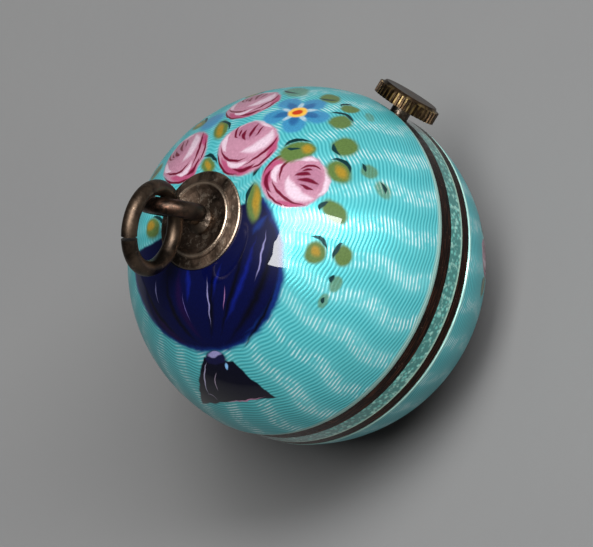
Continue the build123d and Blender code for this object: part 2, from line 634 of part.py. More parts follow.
foot_radius = 1.2
with BuildPart() as barrel_bridge:
    add(bridge_plate([(-9.5, 1.0), (2.4, 1.0), (2.4, -2.6), (9.5, -2.6), (9.5, 9.5), (-9.5, 9.5)], 3.3))
    add(feet(BARREL_SCREWS, foot_radius))
    add(block((8.85, 9.15), (-1.6, 1.6), (PLATE_TOP, BRIDGE_BOTTOM)))
    add(rod(STEM_RADIUS + RUNNING_FIT, 8.7, PLATE_RADIUS), mode=Mode.SUBTRACT)
    add(pillar(2.2, 1.2, BRIDGE_TOP + 1, CROWN_WHEEL), mode=Mode.SUBTRACT)
    add(block((6.6, 7.6), (-0.95, 0.95), (0.9, 1.3)), mode=Mode.SUBTRACT)
    add(pillar(0.6, 0, 3, BARREL), mode=Mode.SUBTRACT)
    add(pillar(0.3, 0, 3, CLICK_PIVOT), mode=Mode.SUBTRACT)
    add(pillar(0.31, 0, 3, CROWN_WHEEL), mode=Mode.SUBTRACT)
    for centre in BARREL_SCREWS:
        add(pillar(0.3, -1, 3, centre), mode=Mode.SUBTRACT)
save(barrel_bridge.part, "barrel_bridge")

jewel_radius = 0.45
with BuildPart() as train_bridge:
    add(bridge_plate([(-9.5, 0.8), (2.1, 0.8), (2.1, -9.5), (-9.5, -9.5)], 3.2))
    add(feet(TRAIN_SCREWS, foot_radius))
    for pivot in ((0, 0), THIRD, FOURTH, ESCAPE):
        add(pillar(jewel_radius, 0, 3, pivot), mode=Mode.SUBTRACT)
    for centre in TRAIN_SCREWS:
        add(pillar(0.3, -1, 3, centre), mode=Mode.SUBTRACT)
    add(feet([PALLET_SCREW], foot_radius + 0.15, BRIDGE_TOP + 0.1), mode=Mode.SUBTRACT)
save(train_bridge.part, "train_bridge")

pallet_top = 0.7
with BuildPart() as pallet_bridge:
    add(feet([PALLET_SCREW], 0.9, pallet_top))
    add(finger_lever(PALLET_SCREW, (PALLET[0], PALLET[1] + 0.2), 0.4, pallet_top, 0.7, 0.8, 0.1))
    add(pillar(0.3, -1, 3, PALLET_SCREW), mode=Mode.SUBTRACT)
    add(pillar(0.17, -1, 3, PALLET), mode=Mode.SUBTRACT)
save(pallet_bridge.part, "pallet_bridge")

cock_foot = 1.05
with BuildPart() as balance_cock:
    add(feet([COCK_SCREW], cock_foot, COCK_TOP))
    add(finger_lever(COCK_SCREW, BALANCE, COCK_BOTTOM, COCK_TOP, 1.3, 1.15, 0.1))
    add(pillar(0.95, COCK_BOTTOM, COCK_TOP, BALANCE))
    add(pillar(0.3, -1, 3, COCK_SCREW), mode=Mode.SUBTRACT)
    add(pillar(jewel_radius, 0, 3, BALANCE), mode=Mode.SUBTRACT)
save(balance_cock.part, "balance_cock")

with BuildPart() as bridge_screws:
    add(cheese_screws(BARREL_SCREWS + TRAIN_SCREWS, 0.55, 0.29, BRIDGE_TOP, BRIDGE_TOP + 0.25, -1.2))
    add(cheese_screws([COCK_SCREW], 0.55, 0.29, COCK_TOP, COCK_TOP + 0.25, -1.2))
    add(cheese_screws([PALLET_SCREW], 0.5, 0.29, pallet_top, pallet_top + 0.25, -1.2))
save(bridge_screws.part, "bridge_screws")
save(cheese_screws(CASE_SCREWS, 0.9, 0.29, PLATE_TOP, PLATE_TOP + 0.25, -1.2), "case_screws")

with BuildPart() as train_jewels:
    for pivot in ((0, 0), THIRD, FOURTH, ESCAPE):
        add(pillar(jewel_radius, BRIDGE_BOTTOM + 0.4, BRIDGE_TOP - 0.05, pivot))
        add(pillar(0.17, 0, 3, pivot), mode=Mode.SUBTRACT)
    add(pillar(jewel_radius, COCK_BOTTOM, COCK_TOP - 0.05, BALANCE))
    add(pillar(0.17, 0, 1.85, BALANCE), mode=Mode.SUBTRACT)
save(train_jewels.part, "train_jewels")

# ==== Barrel, ratchet and winding wheels ====
barrel_pitch, center_pinion_pitch = pitch_radii(BARREL, (0, 0), BARREL_TEETH, CENTER_LEAVES)
drum_outer, drum_inner = 3.8, 3.5
with BuildPart() as barrel:
    add(gear(barrel_pitch, BARREL_TEETH, -0.15, 0.1, BARREL, bearing(BARREL, (0, 0))))
    add(pillar(drum_outer, -0.15, 0.6, BARREL))
    add(pillar(drum_inner, 0.0, 0.7, BARREL), mode=Mode.SUBTRACT)
    add(pillar(0.6, -1, 1, BARREL), mode=Mode.SUBTRACT)
save(barrel.part, "barrel")

with BuildPart() as barrel_cover:
    add(pillar(drum_inner, 0.47, 0.6, BARREL))
    add(pillar(0.6, 0, 1, BARREL), mode=Mode.SUBTRACT)
save(barrel_cover.part, "barrel_cover")
save(spiral_spring(0.95, 3.35, 7, 0.14, 0.04, 0.42, BARREL), "mainspring")

square = 0.75
with BuildPart() as barrel_arbor:
    add(pillar(0.55, -0.9, WHEEL_TOP_BOTTOM, BARREL))
    with BuildSketch(level(WHEEL_TOP_BOTTOM, BARREL)):
        Rectangle(square, square)
    extrude(amount=WHEEL_TOP_TOP - WHEEL_TOP_BOTTOM)
save(barrel_arbor.part, "barrel_arbor")

crown_wheel_pitch, ratchet_pitch = pitch_radii(CROWN_WHEEL, BARREL, CROWN_WHEEL_TEETH, RATCHET_TEETH)
with BuildPart() as ratchet_wheel:
    add(gear(ratchet_pitch, RATCHET_TEETH, WHEEL_TOP_BOTTOM, WHEEL_TOP_TOP, BARREL, bearing(BARREL, CROWN_WHEEL),
             between=True))
    with BuildSketch(level(WHEEL_TOP_BOTTOM, BARREL)):
        Rectangle(square + 0.02, square + 0.02)
    extrude(amount=WHEEL_TOP_TOP - WHEEL_TOP_BOTTOM, mode=Mode.SUBTRACT)
save(ratchet_wheel.part, "ratchet_wheel")

with BuildPart() as ratchet_screw:
    add(pillar(0.85, WHEEL_TOP_TOP, WHEEL_TOP_TOP + 0.22, BARREL))
    with BuildSketch(level(WHEEL_TOP_TOP + 0.1, BARREL)):
        Rectangle(2, 0.18)
    extrude(amount=0.2, mode=Mode.SUBTRACT)
save(ratchet_screw.part, "ratchet_screw")

with BuildPart() as crown_wheel:
    add(gear(crown_wheel_pitch, CROWN_WHEEL_TEETH, WHEEL_TOP_BOTTOM, WHEEL_TOP_TOP, CROWN_WHEEL,
             bearing(CROWN_WHEEL, BARREL)))
    add(pillar(2.1, 1.25, WHEEL_TOP_BOTTOM, CROWN_WHEEL))
    with BuildSketch(level(1.25, CROWN_WHEEL)):
        with PolarLocations(2.0, CROWN_WHEEL_TEETH):
            Rectangle(0.5, 0.26)
    extrude(amount=0.25, mode=Mode.SUBTRACT)
    add(pillar(0.75, 1, 3, CROWN_WHEEL), mode=Mode.SUBTRACT)
save(crown_wheel.part, "crown_wheel")

with BuildPart() as crown_wheel_core:
    add(pillar(0.7, 1.2, WHEEL_TOP_TOP + 0.03, CROWN_WHEEL))
    add(pillar(0.3, BRIDGE_BOTTOM, 1.2, CROWN_WHEEL))
    add(pillar(1.15, WHEEL_TOP_TOP + 0.03, WHEEL_TOP_TOP + 0.22, CROWN_WHEEL))
    with BuildSketch(level(WHEEL_TOP_TOP + 0.12, CROWN_WHEEL)):
        Rectangle(2.5, 0.18)
    extrude(amount=0.2, mode=Mode.SUBTRACT)
save(crown_wheel_core.part, "crown_wheel_core")

click_tip_radius = ratchet_pitch + 0.28
click_direction = radians(bearing(BARREL, CLICK_PIVOT) + 9)
click_tip = (BARREL[0] + click_tip_radius * cos(click_direction), BARREL[1] + click_tip_radius * sin(click_direction))
with BuildPart() as click:
    add(finger_lever(CLICK_PIVOT, click_tip, WHEEL_TOP_BOTTOM, WHEEL_TOP_TOP, 0.16, 0.5, 0.05))
    add(pillar(0.27, 1.1, WHEEL_TOP_BOTTOM, CLICK_PIVOT))
save(click.part, "click")

with BuildPart() as click_spring:
    with BuildSketch(level(BRIDGE_TOP, (-5.2, 2.6))):
        with BuildLine():
            CenterArc((0, 0), 0.95, 60, 250)
            CenterArc((0, 0), 0.83, 60, 250)
            Line((0.83 * cos(radians(60)), 0.83 * sin(radians(60))),
                 (0.95 * cos(radians(60)), 0.95 * sin(radians(60))))
            Line((0.83 * cos(radians(310)), 0.83 * sin(radians(310))),
                 (0.95 * cos(radians(310)), 0.95 * sin(radians(310))))
        make_face()
    extrude(amount=0.2)
save(click_spring.part, "click_spring")

# ==== Going train ====
center_pitch, third_pinion_pitch = pitch_radii((0, 0), THIRD, CENTER_TEETH, THIRD_LEAVES)
third_pitch, fourth_pinion_pitch = pitch_radii(THIRD, FOURTH, THIRD_TEETH, FOURTH_LEAVES)
fourth_pitch, escape_pinion_pitch = pitch_radii(FOURTH, ESCAPE, FOURTH_TEETH, ESCAPE_LEAVES)


def train_wheel(wheel, wheel_span, windows, pinion, arbor_radius, arbor_span, centre):
    """A spoked wheel, its pinion and its arbor riveted together."""
    with BuildPart() as mobile:
        add(wheel)
        add(spoke_windows(windows[0], windows[1], 5, wheel_span[0] - 0.1, wheel_span[1] + 0.1, centre),
            mode=Mode.SUBTRACT)
        add(pinion)
        add(pillar(arbor_radius, *arbor_span, centre))
    return mobile.part


save(train_wheel(
    gear(center_pitch, CENTER_TEETH, 0.72, 0.87, (0, 0), bearing((0, 0), THIRD)), (0.72, 0.87), (0.8, 2.9),
    gear(center_pinion_pitch, CENTER_LEAVES, -0.2, 0.75, (0, 0), bearing((0, 0), BARREL), between=True),
    0.15, (-0.2, 1.7), (0, 0)) + pillar(0.3, -3.3, -0.2), "center_wheel")
save(train_wheel(
    gear(third_pitch, THIRD_TEETH, 0.1, 0.22, THIRD, bearing(THIRD, FOURTH)), (0.1, 0.22), (0.6, 2.3),
    gear(third_pinion_pitch, THIRD_LEAVES, 0.2, 0.95, THIRD, bearing(THIRD, (0, 0)), between=True),
    0.13, (-0.9, 1.7), THIRD), "third_wheel")
save(train_wheel(
    gear(fourth_pitch, FOURTH_TEETH, 0.42, 0.54, FOURTH, bearing(FOURTH, ESCAPE)), (0.42, 0.54), (0.55, 2.1),
    gear(fourth_pinion_pitch, FOURTH_LEAVES, 0.0, 0.45, FOURTH, bearing(FOURTH, THIRD), between=True),
    0.13, (-0.9, 1.7), FOURTH), "fourth_wheel")

escape_root, escape_tip = 1.2, 1.5
escape_outline = []
for tooth in range(ESCAPE_TEETH):
    for radius, shift in ((escape_root, -0.12), (escape_tip, 0.3), (escape_tip, 0.42), (escape_root, 0.12)):
        angle = 2 * pi * (tooth + shift) / ESCAPE_TEETH
        escape_outline.append((radius * cos(angle), radius * sin(angle)))
with BuildPart() as escape_blank:
    with BuildSketch(level(0.1, ESCAPE)):
        with BuildLine():
            Polyline(*escape_outline, close=True)
        make_face()
    extrude(amount=0.12)
save(train_wheel(
    escape_blank.part, (0.1, 0.22), (0.4, 1.0),
    gear(escape_pinion_pitch, ESCAPE_LEAVES, 0.2, 0.65, ESCAPE, bearing(ESCAPE, FOURTH), between=True),
    0.11, (-0.9, 1.7), ESCAPE), "escape_wheel")

# ==== Escapement ====
fork_bottom, fork_top = 0.1, 0.25
with BuildPart() as pallet_fork:
    with BuildSketch(level(fork_bottom, PALLET)):
        Circle(0.32)
        with BuildLine():
            Polyline((0, -0.14), (1.75, -0.09), (1.75, 0.09), (0, 0.14), close=True)
        make_face()
        with BuildLine():
            Polyline((-0.1, -1.05), (0.12, -1.05), (0.22, 0), (0.12, 1.05), (-0.1, 1.05), (-0.1, 0), close=True)
        make_face()
        for side in (-1, 1):
            with BuildLine():
                Polyline((1.7, side * 0.08), (1.95, side * 0.14), (1.95, side * 0.28), (1.66, side * 0.2),
                         close=True)
            make_face()
    extrude(amount=fork_top - fork_bottom)
    add(pillar(0.12, -0.9, 0.68, PALLET))
save(pallet_fork.part, "pallet_fork")

with BuildPart() as pallet_stones:
    with BuildSketch(level(fork_bottom, PALLET)):
        with Locations((-0.22, 0.92), (-0.22, -0.92)):
            Rectangle(0.24, 0.16)
    extrude(amount=fork_top - fork_bottom)
save(pallet_stones.part, "pallet_stones")

balance_rim, balance_inner = 2.9, 2.5
with BuildPart() as balance_wheel:
    with BuildSketch(level(1.05, BALANCE)):
        Circle(balance_rim)
        Circle(balance_inner, mode=Mode.SUBTRACT)
        Rectangle(2 * balance_inner + 0.2, 0.4)
        Circle(0.55)
    extrude(amount=0.3)
    add(pillar(0.13, -0.9, 1.82, BALANCE))
    add(pillar(0.5, 0.42, 0.54, BALANCE))
    add(pillar(0.06, 0.12, 0.45, (BALANCE[0] - 0.36, BALANCE[1])))
    with BuildSketch(level(1.08, BALANCE)):
        with PolarLocations(balance_rim - 0.1, 12):
            Circle(0.18)
    extrude(amount=0.24)
save(balance_wheel.part, "balance_wheel")
save(spiral_spring(0.3, 1.8, 8, 0.05, 1.4, 1.48, BALANCE), "hairspring")

# ==== Motion work, dial and hands ====
cannon_pitch, minute_pitch = pitch_radii((0, 0), MINUTE_WHEEL, CANNON_LEAVES, MINUTE_TEETH)
minute_pinion_pitch, hour_pitch = pitch_radii(MINUTE_WHEEL, (0, 0), MINUTE_LEAVES, HOUR_TEETH)
cannon_radius, hour_pipe = 0.5, 0.72
with BuildPart() as cannon_pinion:
    add(gear(cannon_pitch, CANNON_LEAVES, -2.0, -1.74, (0, 0), bearing((0, 0), MINUTE_WHEEL)))
    add(pillar(cannon_radius, -3.2, -2.0))
    add(pillar(0.3 + FIXED_FIT, -4, -1), mode=Mode.SUBTRACT)
save(cannon_pinion.part, "cannon_pinion")

with BuildPart() as minute_wheel:
    add(gear(minute_pitch, MINUTE_TEETH, -1.92, -1.78, MINUTE_WHEEL, bearing(MINUTE_WHEEL, (0, 0)), between=True))
    add(gear(minute_pinion_pitch, MINUTE_LEAVES, -2.25, -1.9, MINUTE_WHEEL, bearing(MINUTE_WHEEL, (0, 0))))
    add(pillar(0.25, -3, -1, MINUTE_WHEEL), mode=Mode.SUBTRACT)
save(minute_wheel.part, "minute_wheel")

with BuildPart() as hour_wheel:
    add(gear(hour_pitch, HOUR_TEETH, -2.24, -2.08, (0, 0), bearing((0, 0), MINUTE_WHEEL), between=True))
    add(pillar(hour_pipe, -2.95, -2.1))
    add(pillar(cannon_radius + RUNNING_FIT, -4, -1), mode=Mode.SUBTRACT)
save(hour_wheel.part, "hour_wheel")

with BuildPart() as dial:
    add(pillar(DIAL_RADIUS, DIAL_BOTTOM, DIAL_TOP))
    add(pillar(hour_pipe + 0.1, -4, -1), mode=Mode.SUBTRACT)
save(dial.part, "dial")


def moon_hand(length, bottom, bore, direction, ring_at, ring_radius):
    """A hand with an open ring near its point; it lies under the dial, facing down."""
    thickness = 0.12
    hand_plane = Plane(
        origin=(0, 0, bottom - EYE_HEIGHT),
        x_dir=(cos(radians(direction)), sin(radians(direction)), 0),
        z_dir=(0, 0, 1),
    )
    with BuildPart() as hand:
        with BuildSketch(hand_plane):
            with BuildLine():
                Polyline((-1.2, -0.1), (length * 0.5, -0.13), (length, -0.03), (length, 0.03), (length * 0.5, 0.13),
                         (-1.2, 0.1), close=True)
            make_face()
            Circle(bore + 0.32)
            with Locations((ring_at, 0)):
                Circle(ring_radius)
                Circle(ring_radius * 0.6, mode=Mode.SUBTRACT)
            Circle(bore, mode=Mode.SUBTRACT)
        extrude(amount=thickness)
    return hand.part


save(moon_hand(4.4, -2.93, hour_pipe + FIXED_FIT, HOUR_DIRECTION, 3.1, 0.55), "hour_hand")
save(moon_hand(6.6, -3.18, cannon_radius + FIXED_FIT, MINUTE_DIRECTION, 5.1, 0.42), "minute_hand")
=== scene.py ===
import math

import bmesh
import bpy
from mathutils import Matrix, Vector


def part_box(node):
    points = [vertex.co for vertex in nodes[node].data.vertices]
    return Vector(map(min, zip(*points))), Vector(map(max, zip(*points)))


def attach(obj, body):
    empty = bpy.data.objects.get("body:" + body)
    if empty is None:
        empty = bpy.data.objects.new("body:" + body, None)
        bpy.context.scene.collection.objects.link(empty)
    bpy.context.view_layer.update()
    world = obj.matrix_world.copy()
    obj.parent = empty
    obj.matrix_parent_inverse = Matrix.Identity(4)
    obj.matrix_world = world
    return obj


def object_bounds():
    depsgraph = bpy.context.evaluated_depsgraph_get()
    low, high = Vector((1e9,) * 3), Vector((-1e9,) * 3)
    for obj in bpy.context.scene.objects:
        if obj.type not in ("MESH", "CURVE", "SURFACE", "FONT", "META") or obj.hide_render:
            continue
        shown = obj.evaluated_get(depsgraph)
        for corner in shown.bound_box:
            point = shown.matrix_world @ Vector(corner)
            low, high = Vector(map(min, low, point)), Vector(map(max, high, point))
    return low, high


# Materials, dial figures, light and camera for a ball watch in painted enamel, with a bow and a ring
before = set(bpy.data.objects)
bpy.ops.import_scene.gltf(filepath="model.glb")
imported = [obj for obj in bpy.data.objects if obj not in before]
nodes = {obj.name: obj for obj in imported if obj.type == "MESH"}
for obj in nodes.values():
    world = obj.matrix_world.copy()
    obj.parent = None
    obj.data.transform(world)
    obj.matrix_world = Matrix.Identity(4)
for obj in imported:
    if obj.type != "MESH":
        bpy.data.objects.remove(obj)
cad_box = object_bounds()

# ==== Sizes, from the frame ====
MM = 0.001
crown_low, crown_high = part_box("crown")
dome_low, dome_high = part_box("dome_enamel")
cup_low, cup_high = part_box("pendant_cup")
dial_low, dial_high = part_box("dial")
CENTRE = Vector((0, 0, (crown_low.z + crown_high.z) / 2))
BALL_RADIUS = math.hypot(dome_high.x, dome_low.z - CENTRE.z)
CROWN_RADIUS = (crown_high.z - crown_low.z) / 2
CUP_RADIUS = (cup_high.x - cup_low.x) / 2
DIAL_RADIUS = (dial_high.x - dial_low.x) / 2
FLOOR_HEIGHT = cad_box[0].z


def rgb(red, green, blue):
    """A colour given as 0 to 255 screen values, as the linear values that shaders use."""
    def linear(value):
        share = value / 255
        return share / 12.92 if share < 0.04045 else ((share + 0.055) / 1.055) ** 2.4
    return linear(red), linear(green), linear(blue)


# ==== Short calls for a material's nodes ====
class Graph:
    """Each call adds a node to the tree and returns its output."""

    def __init__(self, tree, material=None):
        self.tree, self.material = tree, material

    def node(self, kind, *inputs, **settings):
        made = self.tree.nodes.new("ShaderNode" + kind)
        for name, value in settings.items():
            setattr(made, name, value)
        for socket, value in zip(made.inputs, inputs):
            self.feed(socket, value)
        return made

    def feed(self, socket, value):
        if value is None:
            return
        if isinstance(value, bpy.types.NodeSocket):
            self.tree.links.new(value, socket)
        elif socket.type == "RGBA":
            socket.default_value = (*value, 1)
        else:
            socket.default_value = value

    def math(self, operation, *values):
        return self.node("Math", *values, operation=operation).outputs[0]

    def times(self, first, second):
        return self.math("MULTIPLY", first, second)

    def vector(self, operation, *values):
        made = self.node("VectorMath", *values, operation=operation)
        return made.outputs["Value" if operation in ("LENGTH", "DOT_PRODUCT") else "Vector"]

    def parts(self, vector):
        return self.node("SeparateXYZ", vector).outputs

    def join(self, x, y, z):
        return self.node("CombineXYZ", x, y, z).outputs[0]

    def reach(self, x, y, z=0.0):
        """How far (x, y, z) is from zero."""
        return self.vector("LENGTH", self.join(x, y, z))

    def place(self):
        """The point's place in the shared frame, in metres."""
        return self.node("TexCoord").outputs["Object"]

    def group(self, tree, *inputs):
        """A copy of a node group, with its inputs in order."""
        made = self.node("Group", node_tree=tree)
        for socket, value in zip(made.inputs, inputs):
            self.feed(socket, value)
        return made.outputs[0]

    def smooth(self, value, start, end):
        """0 up to start and 1 from end on, with an even curve between."""
        made = self.node("MapRange", value, start, end, interpolation_type="SMOOTHSTEP", clamp=False)
        return made.outputs[0]

    def span(self, value, low, high, start, end):
        """Goes evenly from start to end while the value goes from low to high."""
        return self.node("MapRange", value, low, high, start, end).outputs[0]

    def mix(self, factor, first, second):
        """The first colour at factor 0, the second at factor 1."""
        made = self.node("Mix", data_type="RGBA")
        for index, value in ((0, factor), (6, first), (7, second)):
            self.feed(made.inputs[index], value)
        return made.outputs[2]

    def noise(self, where, scale, detail=2.0, roughness=0.5, distortion=0.0, output="Fac"):
        made = self.node("TexNoise")
        for name, value in (("Vector", where), ("Scale", scale), ("Detail", detail),
                            ("Roughness", roughness), ("Distortion", distortion)):
            self.feed(made.inputs[name], value)
        return made.outputs[output]

    def cells(self, where, scale):
        """The distance to the nearest of many scattered points."""
        made = self.node("TexVoronoi")
        self.feed(made.inputs["Vector"], where)
        self.feed(made.inputs["Scale"], scale)
        return made.outputs["Distance"]

    def bump(self, height, depth, strength=1.0):
        """A normal for that height, which runs from 0 to 1 over a depth in metres."""
        made = self.node("Bump")
        for name, value in (("Strength", strength), ("Distance", depth), ("Height", height)):
            self.feed(made.inputs[name], value)
        return made.outputs[0]

    def finish(self, **sockets):
        """Ends the material in a Principled shader with these inputs."""
        shader = self.node("BsdfPrincipled")
        for name, value in sockets.items():
            self.feed(shader.inputs[name.replace("_", " ")], value)
        self.tree.links.new(shader.outputs[0], self.node("OutputMaterial").inputs[0])
        return self.material


def new_material(name):
    material = bpy.data.materials.new(name)
    material.use_nodes = True
    material.node_tree.nodes.clear()
    return Graph(material.node_tree, material)


def mask_group(name, inputs, make):
    """A node group with one number as its output: make(graph, *inputs) adds its nodes."""
    tree = bpy.data.node_groups.new(name, "ShaderNodeTree")
    for label, kind in inputs.items():
        tree.interface.new_socket(label, in_out="INPUT", socket_type="NodeSocket" + kind)
    tree.interface.new_socket("Mask", in_out="OUTPUT", socket_type="NodeSocketFloat")
    graph = Graph(tree)
    entry = tree.nodes.new("NodeGroupInput")
    leave = tree.nodes.new("NodeGroupOutput")
    tree.links.new(make(graph, *entry.outputs[:len(inputs)]), leave.inputs[0])
    return tree


def ball_degrees(graph, up=1):
    """Places on the ball as a flat map: degrees from its top (or bottom) pole towards +X and +Y, and 1."""
    x, y, z = graph.parts(graph.vector("SUBTRACT", graph.place(), CENTRE))
    flat = graph.math("MAXIMUM", graph.reach(x, y), 1e-6)
    angle = graph.math("DEGREES", graph.math("ARCTAN2", flat, graph.times(z, up)))
    stretch = graph.math("DIVIDE", angle, flat)
    where = graph.join(graph.times(x, stretch), graph.times(y, stretch), 1)
    return where, angle, graph.math("ARCTAN2", y, x), z


# ==== Brushwork ====
def measure(centre, turn, size):
    """Two vectors: their dot products with (x, y, 1) are the point's place from a turned, scaled centre."""
    cosine, sine = math.cos(math.radians(turn)), math.sin(math.radians(turn))
    found = []
    for (x, y), length in zip(((cosine, sine), (-sine, cosine)), size):
        found.append((x / length, y / length, -(x * centre[0] + y * centre[1]) / length))
    return found


def ellipse_nodes(graph, where, first, second, outer, inner):
    """1 within the ellipse, fading from the inner to the outer share of its radius."""
    x = graph.vector("DOT_PRODUCT", where, first)
    y = graph.vector("DOT_PRODUCT", where, second)
    return graph.smooth(graph.reach(x, y), outer, inner)


def arc_nodes(graph, where, first, second, turns, slimness, edge):
    """1 along an arc of radius 1, tapering to both ends."""
    x = graph.vector("DOT_PRODUCT", where, first)
    y = graph.vector("DOT_PRODUCT", where, second)
    along = graph.times(graph.math("ARCTAN2", y, x), turns)
    taper = graph.math("SUBTRACT", 1.0, graph.times(along, along))
    off = graph.math("ABSOLUTE", graph.math("SUBTRACT", graph.reach(x, y), 1.0))
    inside = graph.math("SUBTRACT", taper, graph.times(off, slimness))
    return graph.smooth(inside, 0.0, edge)


AXES = {"Where": "Vector", "First": "Vector", "Second": "Vector"}
ELLIPSE = mask_group("ellipse", {**AXES, "Outer": "Float", "Inner": "Float"}, ellipse_nodes)
ARC = mask_group("brush_arc", {**AXES, "Turns": "Float", "Slimness": "Float", "Edge": "Float"}, arc_nodes)


class Painting:
    """Strokes laid over a ground colour; cover tells how much paint hides the ground."""

    def __init__(self, graph, where, ground):
        self.graph, self.where, self.colour, self.cover = graph, where, ground, 0.0

    def lay(self, mask, colour, body=False):
        self.colour = self.graph.mix(mask, self.colour, colour)
        if body:
            self.cover = self.graph.math("MAXIMUM", self.cover, mask)

    def spot(self, centre, size, turn, colour, edge=0.35, body=False, strength=1.0):
        """An ellipse with half sizes in degrees."""
        first, second = measure(centre, turn, size)
        mask = self.graph.group(ELLIPSE, self.where, first, second, 1 + edge / 2, 1 - edge / 2)
        if strength < 1:
            mask = self.graph.times(mask, strength)
        self.lay(mask, colour, body)

    def stroke(self, start, middle, end, width, colour, edge=0.6):
        """A stroke along the arc through three points, tapering to both ends; width is half its width."""
        centre, radius = circle_through(start, middle, end)
        heading = math.atan2(middle[1] - centre[1], middle[0] - centre[0])
        sweep = max(abs(angle_from(heading, centre, point)) for point in (start, end))
        first, second = measure(centre, math.degrees(heading), (radius, radius))
        self.lay(self.graph.group(ARC, self.where, first, second, 1 / sweep, radius / width, edge), colour)

    def block(self, corners, colour, edge=0.8):
        """A convex shape inside corners given anticlockwise, with an edge in degrees."""
        graph = self.graph
        inside = None
        for (x, y), (next_x, next_y) in zip(corners, corners[1:] + corners[:1]):
            length = math.hypot(next_x - x, next_y - y)
            across = ((y - next_y) / length, (next_x - x) / length)
            depth = graph.vector("DOT_PRODUCT", self.where, (*across, -x * across[0] - y * across[1]))
            inside = depth if inside is None else graph.math("MINIMUM", inside, depth)
        self.lay(graph.smooth(inside, -edge / 2, edge / 2), colour, body=True)


def circle_through(first, second, third):
    """Centre and radius of the circle through three flat points."""
    (ax, ay), (bx, by), (cx, cy) = first, second, third
    twice = 2 * (ax * (by - cy) + bx * (cy - ay) + cx * (ay - by))
    squares = [x * x + y * y for x, y in (first, second, third)]
    x = (squares[0] * (by - cy) + squares[1] * (cy - ay) + squares[2] * (ay - by)) / twice
    y = (squares[0] * (cx - bx) + squares[1] * (ax - cx) + squares[2] * (bx - ax)) / twice
    return (x, y), math.hypot(ax - x, ay - y)


def angle_from(heading, centre, point):
    """The signed angle from a heading to a point, seen from a centre."""
    turn = math.atan2(point[1] - centre[1], point[0] - centre[0]) - heading
    return (turn + math.pi) % (2 * math.pi) - math.pi


# ---- Painted motifs: places in degrees on the dome ----
PINK = rgb(158, 112, 130)
DEEP_PINK = rgb(146, 66, 96)
PALE_PINK = rgb(186, 164, 176)
HEART_PINK = rgb(146, 98, 118)
CRIMSON = rgb(88, 10, 34)
OLIVE = rgb(76, 98, 50)
LEAF_SHADOW = rgb(14, 44, 46)
OCHRE = rgb(136, 110, 34)
COBALT = rgb(3, 6, 44)
BRIGHT_COBALT = rgb(7, 18, 90)
NAVY = rgb(3, 3, 13)
VIOLET = rgb(20, 6, 44)
URN_EDGE = rgb(10, 34, 92)
URN_LIGHT = rgb(126, 122, 164)
SKY = rgb(50, 116, 152)
SKY_SHADOW = rgb(34, 84, 128)
PALE_BLUE = rgb(150, 174, 186)
YOLK = rgb(228, 178, 70)
RUST = rgb(186, 58, 24)

# (start, middle, end, half width, colour) in a rose of radius 1 whose heart lies towards +X
ROSE_STROKES = [
    ((-0.80, -0.35), (-0.74, 0.38), (-0.10, 0.84), 0.24, DEEP_PINK),
    ((-0.70, -0.62), (-0.20, -0.84), (0.35, -0.86), 0.16, DEEP_PINK),
    ((-0.18, 0.16), (-0.02, -0.46), (0.68, -0.66), 0.26, PALE_PINK),
    ((0.62, -0.66), (0.96, -0.08), (0.72, 0.60), 0.14, PALE_PINK),
    ((-0.08, 0.62), (0.30, 0.78), (0.62, 0.68), 0.12, PALE_PINK),
    ((-0.50, -0.12), (-0.62, 0.30), (-0.30, 0.62), 0.12, PALE_PINK),
    ((-0.92, 0.30), (-0.56, 0.80), (0.26, 0.94), 0.055, CRIMSON),
    ((-0.72, 0.36), (-0.84, 0.02), (-0.66, -0.42), 0.085, CRIMSON),
    ((0.12, 0.84), (-0.34, 0.56), (-0.40, -0.14), 0.06, CRIMSON),
    ((-0.62, -0.16), (-0.34, -0.58), (0.42, -0.92), 0.065, CRIMSON),
    ((-0.84, -0.26), (-0.66, -0.62), (-0.16, -0.90), 0.05, CRIMSON),
]
HEART_REACH = 0.62  # how far the heart's middle is from the rose's, as a share of its radius
HEART_STROKES = [
    ((0.32, 0.30), (0.66, 0.50), (1.00, 0.28), 0.05, CRIMSON),
    ((0.22, 0.12), (0.46, 0.19), (0.74, 0.12), 0.085, CRIMSON),
    ((0.28, -0.04), (0.62, -0.06), (0.98, -0.22), 0.085, CRIMSON),
    ((0.42, 0.30), (0.56, 0.34), (0.74, 0.28), 0.05, CRIMSON),
    ((0.34, -0.20), (0.56, -0.30), (0.84, -0.40), 0.045, CRIMSON),
]


def rose(painting, centre, radius, heading, heart=HEART_REACH, boldness=1.0):
    """A full rose seen a little from one side; heading is the way to its heart, in degrees."""
    cosine, sine = math.cos(math.radians(heading)), math.sin(math.radians(heading))

    def on_rose(point):
        x, y = point
        return (centre[0] + radius * (x * cosine - y * sine), centre[1] + radius * (x * sine + y * cosine))

    def brush(strokes, shift=0.0, weight=1.0):
        for *points, width, colour in strokes:
            start, middle, end = (on_rose((x + shift, y)) for x, y in points)
            painting.stroke(start, middle, end, width * radius * weight, colour)

    painting.spot(centre, (radius, radius * 0.97), heading, PINK, edge=0.14, body=True)
    brush(ROSE_STROKES)
    painting.spot(on_rose((heart, 0.03)), (radius * 0.40, radius * 0.43), heading, HEART_PINK, edge=0.3)
    brush(HEART_STROKES, heart - HEART_REACH, boldness)


def leaf(painting, centre, size, turn, shadow=None, light=None, strength=1.0):
    """An olive leaf; shadow is a dark stroke (start, middle, end, half width), light an ochre touch."""
    painting.spot(centre, size, turn, OLIVE, edge=0.5, body=True, strength=strength)
    if light:
        painting.spot(*light, OCHRE, edge=1.1)
    if shadow:
        painting.stroke(*shadow, LEAF_SHADOW, edge=0.5)


